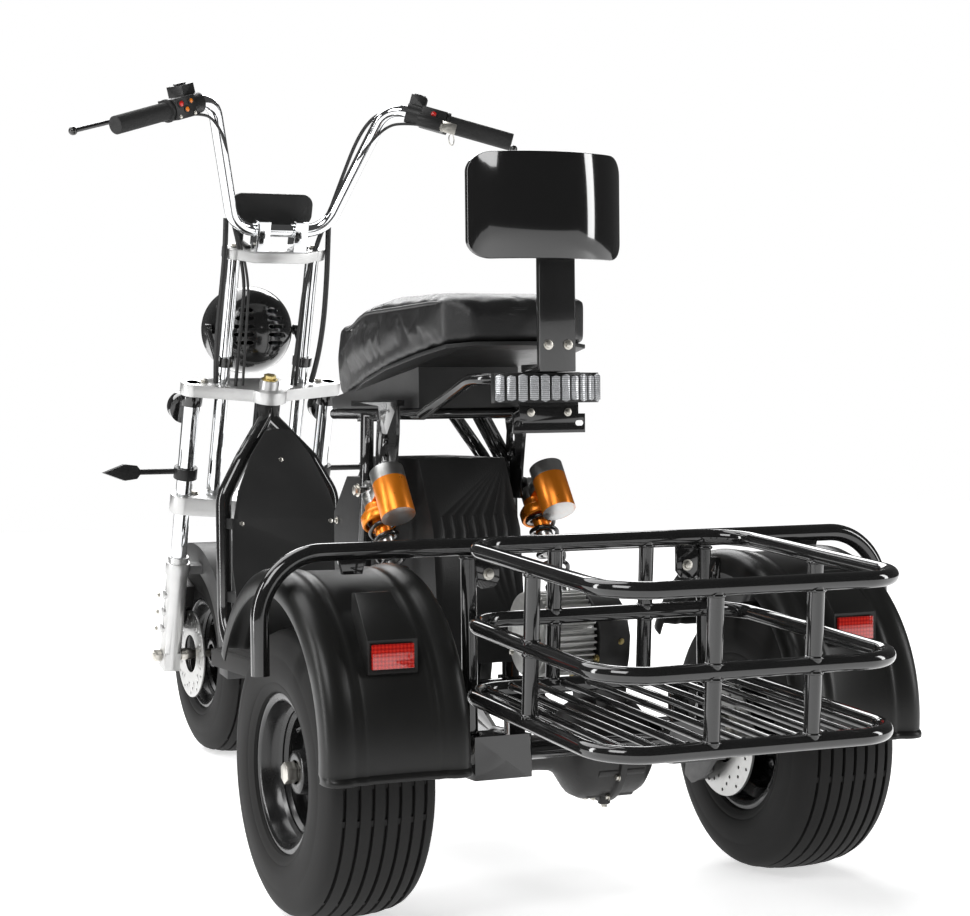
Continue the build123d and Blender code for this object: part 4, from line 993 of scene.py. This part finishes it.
sewn = []
for y in (-60, 150):
    line = []
    for n in range(25):
        x = (seat_reach(y) - 16) * (n / 12.0 - 1.0)
        height = on_top(cushion, x, y)
        if height:
            line.append((x, y, height - 0.4))
    if len(line) > 3:
        sewn.append(drawn_line("seam", line, 1.6))
plan_line = [(-186, 26), (-150, 56), (-60, 78), (60, 105), (200, 128), (330, 128), (398, 118), (432, 80)]
welt = []
for s in (1, -1):
    for y, x in (plan_line if s == 1 else reversed(plan_line)):
        height = on_top(cushion, s * (x - 5), y)
        if height:
            welt.append((s * (x + 0.5), y, height - 4.5))
if len(welt) > 6:
    sewn.append(drawn_line("welt", welt, 3.0, closed=True))
if sewn:
    join(sewn)
    fresh("seat_seams", "seat", "seat_skin", vinyl.material)

# ---- backrest ----------------------------------------------------------------------------
# A curved shell of gloss black plastic stands on a flat steel post. A thin foam pad in black
# vinyl is fixed inside it, and its edge shows past the shell.
machined("backrest_post", "backrest_upright", "frame", "frame_black", frame_enamel, 1.4)
shell_gloss = Finish("shell_gloss", (0.006, 0.006, 0.006), 0.07, Coat_Weight=1.0, Coat_Roughness=0.03)
shell_gloss.feed("Roughness", shell_gloss.between(shell_gloss.speckle(14, 4), 0.05, 0.12))
machined("backrest_shell", "backrest_outer", "frame", "plastic_gloss", shell_gloss.material, 1.8)
plump("backrest_cover", "backrest_pad", "frame", "seat_skin", vinyl.material, 4.5, 6, 3.0, 1.5)
bolts("backrest_bolts", "frame", zinc, [((x, 555.2, z), (0, 1, 0)) for x in (-16, 16) for z in (790, 950)],
    5.5, 4)

# ---- tail light --------------------------------------------------------------------------
# A curved lamp across the seat's rear: a black housing, and eleven clear ribbed cells pointed
# at top and bottom. A slotted steel plate hangs under it for the number plate.
lamp_plastic = moulded("lamp_plastic", 0.012, 0.3, 700)
machined("tail_light_housing", "tail_lamp_case", "frame", "plastic_matte", lamp_plastic, 1.0)
clear = Finish("clear_cells", (0.45, 0.46, 0.48), 0.08, 0.25, Coat_Weight=1.0, Coat_Roughness=0.03)
flute_relief_and_painted_shade = abs((clear.along(2) % 0.003) - 0.0015)
# Painted highlight and shade: the colour is lighter on the crest of each flute and darker in its trough. The
# same pattern also drives the bump.
clear.feed("Base Color", clear.two_tone(flute_relief_and_painted_shade * 600.0, (0.20, 0.205, 0.21), (0.55, 0.56, 0.58)))
clear.raised(flute_relief_and_painted_shade * 660.0, 0.0008, 0.6)
LAMP_MIDDLE, LAMP_R, LAMP_Z = 394.0, 150.2, 728.0
cells = []
for n in range(11):
    turn = math.radians((n - 5) * 6.25)
    out, along = Vector((math.sin(turn), math.cos(turn), 0)), Vector((math.cos(turn), -math.sin(turn), 0))
    foot = Vector((0, LAMP_MIDDLE, LAMP_Z)) + out * LAMP_R
    tall = 19.0 if n % 2 else 20.5
    shape = [(-6.6, 2 - tall), (0, -tall), (6.6, 2 - tall), (6.6, tall - 3), (0, tall - 0.4),
        (-6.6, tall - 3)]
    cells.append(slab("cell", [foot + along * u + Vector((0, 0, z)) for u, z in shape], tuple(out * 4.4),
        1.3, 3))
join(cells)
fresh("tail_light_cells", "frame", "clear_lens", clear.material, "tail_light_lens")
machined("plate_bracket", "plate_holder", "frame", "frame_black", frame_enamel, 0.5)
bolts("plate_bracket_bolts", "frame", zinc, [((s * 30, 524.1, 692), (0, 1, 0)) for s in (1, -1)], 4.5, 3)


# ---- fork sliders, axle, mudguard and caliper --------------------------------------------
# Two cast silver sliders hold the front axle and run on the fork's chromed tubes. A black
# caliper grips the drilled disc, and a short grey mudguard is bolted between the sliders.
cast_silver = Finish("cast_silver", (0.60, 0.60, 0.60), 0.34, 0.75)
cast_silver.feed("Base Color", cast_silver.two_tone(cast_silver.speckle(20, 5), (0.50, 0.50, 0.50),
    (0.68, 0.68, 0.67)))
cast_silver.feed("Roughness", cast_silver.between(cast_silver.speckle(60, 4), 0.26, 0.44))
cast_silver.raised(cast_silver.speckle(700, 2), 0.0001, 0.5)
machined("slider_left", "left_slider", "fork_lower", "cast_silver", cast_silver.material, 0.9)
machined("slider_right", "right_slider", "fork_lower", "cast_silver", cast_silver.material, 0.9)
machined("front_axle", "front_spindle", "fork_lower", "steel", zinc.material, 0.5)
machined("front_fender", "front_mudguard", "fork_lower", "plastic_matte", moulded("front_guard_grey", 0.05,
    0.42, 900), 0.9)
machined("front_caliper", "fork_caliper", "fork_lower", "drive_cast", cast_black.material, 1.6)

# ---- fork clamps, tubes and horns --------------------------------------------------------
# Three cast silver clamps hold the two chromed fork tubes and the two chromed riser tubes.
# A small black horn is bolted to each fork tube between the lower clamps.
chrome = Finish("chrome", (0.80, 0.81, 0.82), 0.05, 1.0)
chrome.feed("Roughness", chrome.between(chrome.speckle(30, 4), 0.03, 0.09))
chrome.raised(chrome.speckle(6, 2), 0.0004, 0.15)
for node, edge in (("lower_clamp", 2.2), ("mid_clamp", 2.2), ("top_clamp", 2.2)):
    machined(node, node.replace("_", "_fork_"), "steering", "cast_silver", cast_silver.material, edge)
machined("stanchions", "fork_tubes", "steering", "chrome", chrome.material)
machined("riser_tubes", "chromed_risers", "steering", "chrome", chrome.material)
machined("horns", "horn_pair", "steering", "plastic_gloss", shell_gloss.material, 1.6)
RAKE, FORK_Y = math.radians(18), -930.0


def on_fork(x, back, up):
    """A point of the fork: back is square to its tubes, towards the seat, and up is along them."""
    return Vector((x, FORK_Y + back * math.cos(RAKE) + up * math.sin(RAKE),
                   AXLE_Z - back * math.sin(RAKE) + up * math.cos(RAKE)))


fork_up = on_fork(0, 0, 1) - on_fork(0, 0, 0)
fork_back = on_fork(0, 1, 0) - on_fork(0, 0, 0)
bolts("clamp_bolts", "steering", zinc, [(on_fork(s * x, 0, up), fork_up) for s in (1,
    -1) for x, up in ((80, 849.2), (118, 577.2), (118, 346.2))] + [(on_fork(s * 104, 22, up),
    fork_back) for s in (1, -1) for up in (565, 328)], 6.5, 4)
bolts("stem_nut", "steering", brass_zinc, [(on_fork(0, 45, 595.2), fork_up)], 12, 8)
bolts("slider_bolts", "fork_lower", zinc,
      [(on_fork(s * 172.2, 0, up), (s, 0, 0)) for s in (1, -1) for up in (60, 96, 132)], 4, 3)

# ---- handlebar and its clamps ------------------------------------------------------------
# One chromed tube bent back to the rider, held to the top clamp by two chromed blocks.
machined("handlebar", "chromed_handlebar", "steering", "chrome", chrome.material)
machined("bar_clamps", "bar_clamp_blocks", "steering", "chrome", chrome.material, 1.6)

# ---- grips, switch housings and brake levers ---------------------------------------------
# Each bar end has a ribbed rubber grip, then a two-piece black switch housing with coloured
# buttons, and a cast lever whose reservoir is bolted in front; the right grip is the throttle.
grip_rubber = Finish("grip_rubber", (0.012, 0.012, 0.012), 0.6, Specular_IOR_Level=0.35)
grip_rubber.feed("Base Color", grip_rubber.two_tone(grip_rubber.speckle(30, 4), (0.009,) * 3, (0.02,) * 3))
grip_rubber.raised(grip_rubber.cells(330), 0.0008, 0.7)
housing_black = moulded("housing_black", 0.014, 0.38, 900)
lever_black = enamel("lever_black", 0.010, 0.18)
machined("grip_left", "left_grip", "steering", "grip_rubber", grip_rubber.material, 1.0)
machined("throttle_grip", "twist_grip", "throttle", "grip_rubber", grip_rubber.material, 1.0)
machined("controls_left", "left_switches", "steering", "plastic_matte", housing_black, 2.2)
machined("controls_right", "right_switches", "steering", "plastic_matte", housing_black, 2.2)
machined("brake_lever_left", "left_brake_lever", "brake_lever_left", "drive_cast", lever_black, 0.6)
machined("brake_lever_right", "right_brake_lever", "brake_lever_right", "drive_cast", lever_black, 0.6)
machined("key", "ignition_key", "key", "steel", zinc.material, 0.4)
bar_tip, bar_bend = Vector((380, -405, 1200)), Vector((172, -504, 1268))
leg_in = (bar_bend - bar_tip).normalized()
leg_up = (Vector((0, 0, 1)) - leg_in * leg_in.z).normalized()
leg_front = -leg_in.cross(leg_up)
if leg_front.y > 0:
    leg_front = -leg_front


def on_leg(s, up, front, inward):
    """A point beside the bar end: s is +1 on the left and -1 on the right."""
    spot = bar_tip + leg_up * up + leg_front * front + leg_in * inward
    return Vector((s * spot.x, spot.y, spot.z))


def leg_way(s, up, front, inward):
    return on_leg(s, up, front, inward) - on_leg(s, 0, 0, 0)


button_red = Finish("button_red", (0.55, 0.012, 0.008), 0.3, Coat_Weight=0.5)
button_red.feed("Roughness", button_red.between(button_red.speckle(80, 3), 0.22, 0.4))
button_orange = Finish("button_orange", (0.75, 0.20, 0.01), 0.3, Coat_Weight=0.5)
button_orange.feed("Roughness", button_orange.between(button_orange.speckle(80, 3), 0.22, 0.4))


def button(name, finish, slot, s, spot, way, radius, rise):
    """A round push button with a domed face in a low black collar."""
    start, out = on_leg(s, *spot), leg_way(s, *way).normalized()
    turned("knob", [(-2, 0.1), (-2, radius), (rise - 1, radius), (rise, radius * 0.7), (rise + 0.6, 0.1)],
        start, out, 28)
    smooth(30)
    fresh(name, "steering", slot, finish.material)
    collar = turned("collar", [(-2, radius + 0.4), (-2, radius + 2.4), (1.4, radius + 2.2),
        (1.8, radius + 0.4)], start, out, 28)
    smooth(30)
    fresh(name + "_collar", "steering", "plastic_matte", housing_black)


BACK = (0, -1, 0)
button("horn_button", button_red, "reflector_red", 1, (8, -22.2, 138), BACK, 5.0, 3.5)
button("signal_button", button_orange, "shock_orange", 1, (-4, -22.2, 150), BACK, 4.5, 3.0)
button("lamp_button", button_orange, "shock_orange", 1, (9, -22.2, 163), BACK, 4.0, 3.0)
button("stop_button", button_red, "reflector_red", -1, (8, -22.2, 150), BACK, 5.0, 3.5)
button("start_button", button_orange, "shock_orange", -1, (-6, -22.2, 134), BACK, 4.0, 3.0)
for side, s in (("left", 1), ("right", -1)):
    lid = post("lid", on_leg(s, 37.5, 22, 187), on_leg(s, 41, 22, 187), 11.5, 32)
    softened(lid, 0.8)
    fresh(side + "_reservoir_cap", "steering", "drive_cast", lever_black)
    bolts(side + "_housing_screws", "steering", zinc, [(on_leg(s, up, -22.2, inward),
        leg_way(s, 0, -1, 0)) for up, inward in ((-14, 132), (-14, 168))], 2.6, 1.6)
ring = begin("torus", "key_ring", major_radius=11 * MM, minor_radius=1.0 * MM, major_segments=36,
    minor_segments=10, location=on_leg(-1, -10, 35, 112) * MM + Vector((0, 0, -0.013)),
    rotation=(math.pi / 2, 0, math.radians(40)))
bpy.ops.object.transform_apply(location=True, rotation=True, scale=True)
smooth(60)
fresh("key_ring", "key", "steel", zinc.material)

# ---- headlight, instrument visor and indicators ------------------------------------------
# A round black headlight hangs on two steel arms in front of the risers, with slots in its
# back. A plain dark panel stands on the top clamp, and arrow-shaped indicators at each side.
head_gloss = Finish("headlight_black", (0.008, 0.008, 0.008), 0.16, Coat_Weight=0.7, Coat_Roughness=0.06)
head_gloss.feed("Roughness", head_gloss.between(head_gloss.speckle(16, 4), 0.12, 0.24))
machined("headlight_bracket", "headlight_arms", "steering", "steel", enamel("arm_black", 0.012, 0.2), 0.6)
machined("visor", "instrument_panel", "steering", "plastic_matte", housing_black, 1.6)
machined("turn_signals", "arrow_indicators", "steering", "plastic_matte", moulded("signal_black", 0.012,
    0.36, 900), 1.4)
LAMP_Y, LAMP_CENTRE = -804.0, 856.0
bowl = [(-62, 82), (-62, 86), (-14, 86), (-6, 85), (4, 82), (14, 78), (24, 73), (32, 67), (39, 60), (45, 52),
        (50, 41), (54, 29), (57, 15), (58, 0.1), (54, 0.1), (50, 20), (43, 44), (30, 62), (18, 71), (-12, 82)]
shell = turned("shell", bowl, (0, LAMP_Y, LAMP_CENTRE), (0, 1, 0), 96)
windows = []
for s in (1, -1):
    for n in range(5):
        rise, reach = 36 - 16 * n, (22, 30, 34, 34, 30)[n]
        windows.append(slab("window", [(s * x, LAMP_Y + 28, LAMP_CENTRE + rise + z) for x, z in ((18,
            -3.6), (16 + reach, -3.6), (20 + reach, 0), (16 + reach, 3.6), (18, 3.6), (14,
            0))], (0, 40, 0), 0))
carve(shell, join(windows))
softened(shell, 0.7, 2, 40)
fresh("headlight_can", "steering", "plastic_gloss", head_gloss.material, "headlight_shell")
turned("bulb_holder", [(-40, 0.1), (-40, 60), (-30, 56), (10, 34), (26, 20), (30, 0.1)],
                     (0, LAMP_Y, LAMP_CENTRE), (0, 1, 0), 48)
smooth(40)
fresh("headlight_bowl", "steering", "plastic_matte", housing_black)
glass = Finish("headlight_glass", (0.86, 0.88, 0.9), 0.05, 0.0, Coat_Weight=1.0, Coat_Roughness=0.02)
facet_relief_and_painted_highlight = abs((glass.along(0) % 0.012) - 0.006)
# Painted highlight and shade: the glass colour is lighter on the ridge of each facet and darker in its
# groove. The same pattern also drives the bump.
glass.feed("Base Color", glass.two_tone(facet_relief_and_painted_highlight * 160.0, (0.68, 0.70, 0.72), (0.94, 0.95, 0.96)))
glass.raised(facet_relief_and_painted_highlight * 160.0, 0.0012, 0.6)
turned("headlight_lens", [(-3, 0.1), (-3, 81), (0, 81), (3, 80), (7, 60), (9.5, 30), (10, 0.1)],
       (0, LAMP_Y - 52, LAMP_CENTRE), (0, -1, 0), 72)
smooth(40)
fresh("headlight_glass", "steering", "clear_lens", glass.material, "headlight_lens")
rim_ring = turned("rim_ring", [(-2, 82.2), (-2, 86), (2.6, 85.6), (5, 84), (4, 82.2)],
    (0, LAMP_Y - 60.0, LAMP_CENTRE), (0, -1, 0), 72)
softened(rim_ring, 0.5)
fresh("headlight_rim", "steering", "chrome", chrome.material)

# ---- cables, hoses and conduits ----------------------------------------------------------
# On each side a black brake hose and a thinner switch cable run from the bar end down the
# riser, and a thicker conduit runs beside them to the clamp. All are held at both ends.
loom_black = Finish("loom_black", (0.010, 0.010, 0.010), 0.42, Specular_IOR_Level=0.45)
loom_black.feed("Roughness", loom_black.between(loom_black.speckle(60, 3), 0.34, 0.52))
corrugated = Finish("corrugated_loom", (0.010, 0.010, 0.010), 0.4, Specular_IOR_Level=0.45)
corrugated.feed("Roughness", corrugated.between(corrugated.speckle(60, 3), 0.34, 0.5))


def cable(name, points, radius, body, finish):
    drawn_line(name, points, radius)
    return fresh(name, body, "plastic_matte", finish.material)


for side, s in (("left", 1), ("right", -1)):
    down_riser = [on_fork(s * 62, 26, up) for up in (800, 720, 640, 575)]
    cable(side + "_brake_hose", [on_leg(s, 10, 30, 200), on_leg(s, 4, 34, 236), on_leg(s, -40, 40, 280),
                                 on_fork(s * 112, 10, 960)] + down_riser, 3.4, "steering", loom_black)
    cable(side + "_switch_cable", [on_leg(s, -16, -6, 168), on_leg(s, -20, -4, 196),
        on_leg(s, -34, 2, 232), on_leg(s, -90, 10, 262), on_fork(s * 104, 6, 940),
        on_fork(s * 56, 34, 800), on_fork(s * 54, 34, 700), on_fork(s * 50, 34,
        580)], 2.6, "steering", loom_black)
    cable(side + "_ribbed_conduit", [on_fork(s * 104, 6, 905), on_fork(s * 104, 18, 850),
        on_fork(s * 106, 24, 780), on_fork(s * 108, 24, 700), on_fork(s * 104, 20, 620),
        on_fork(s * 98, 14, 580)], 5.4, "steering", corrugated)
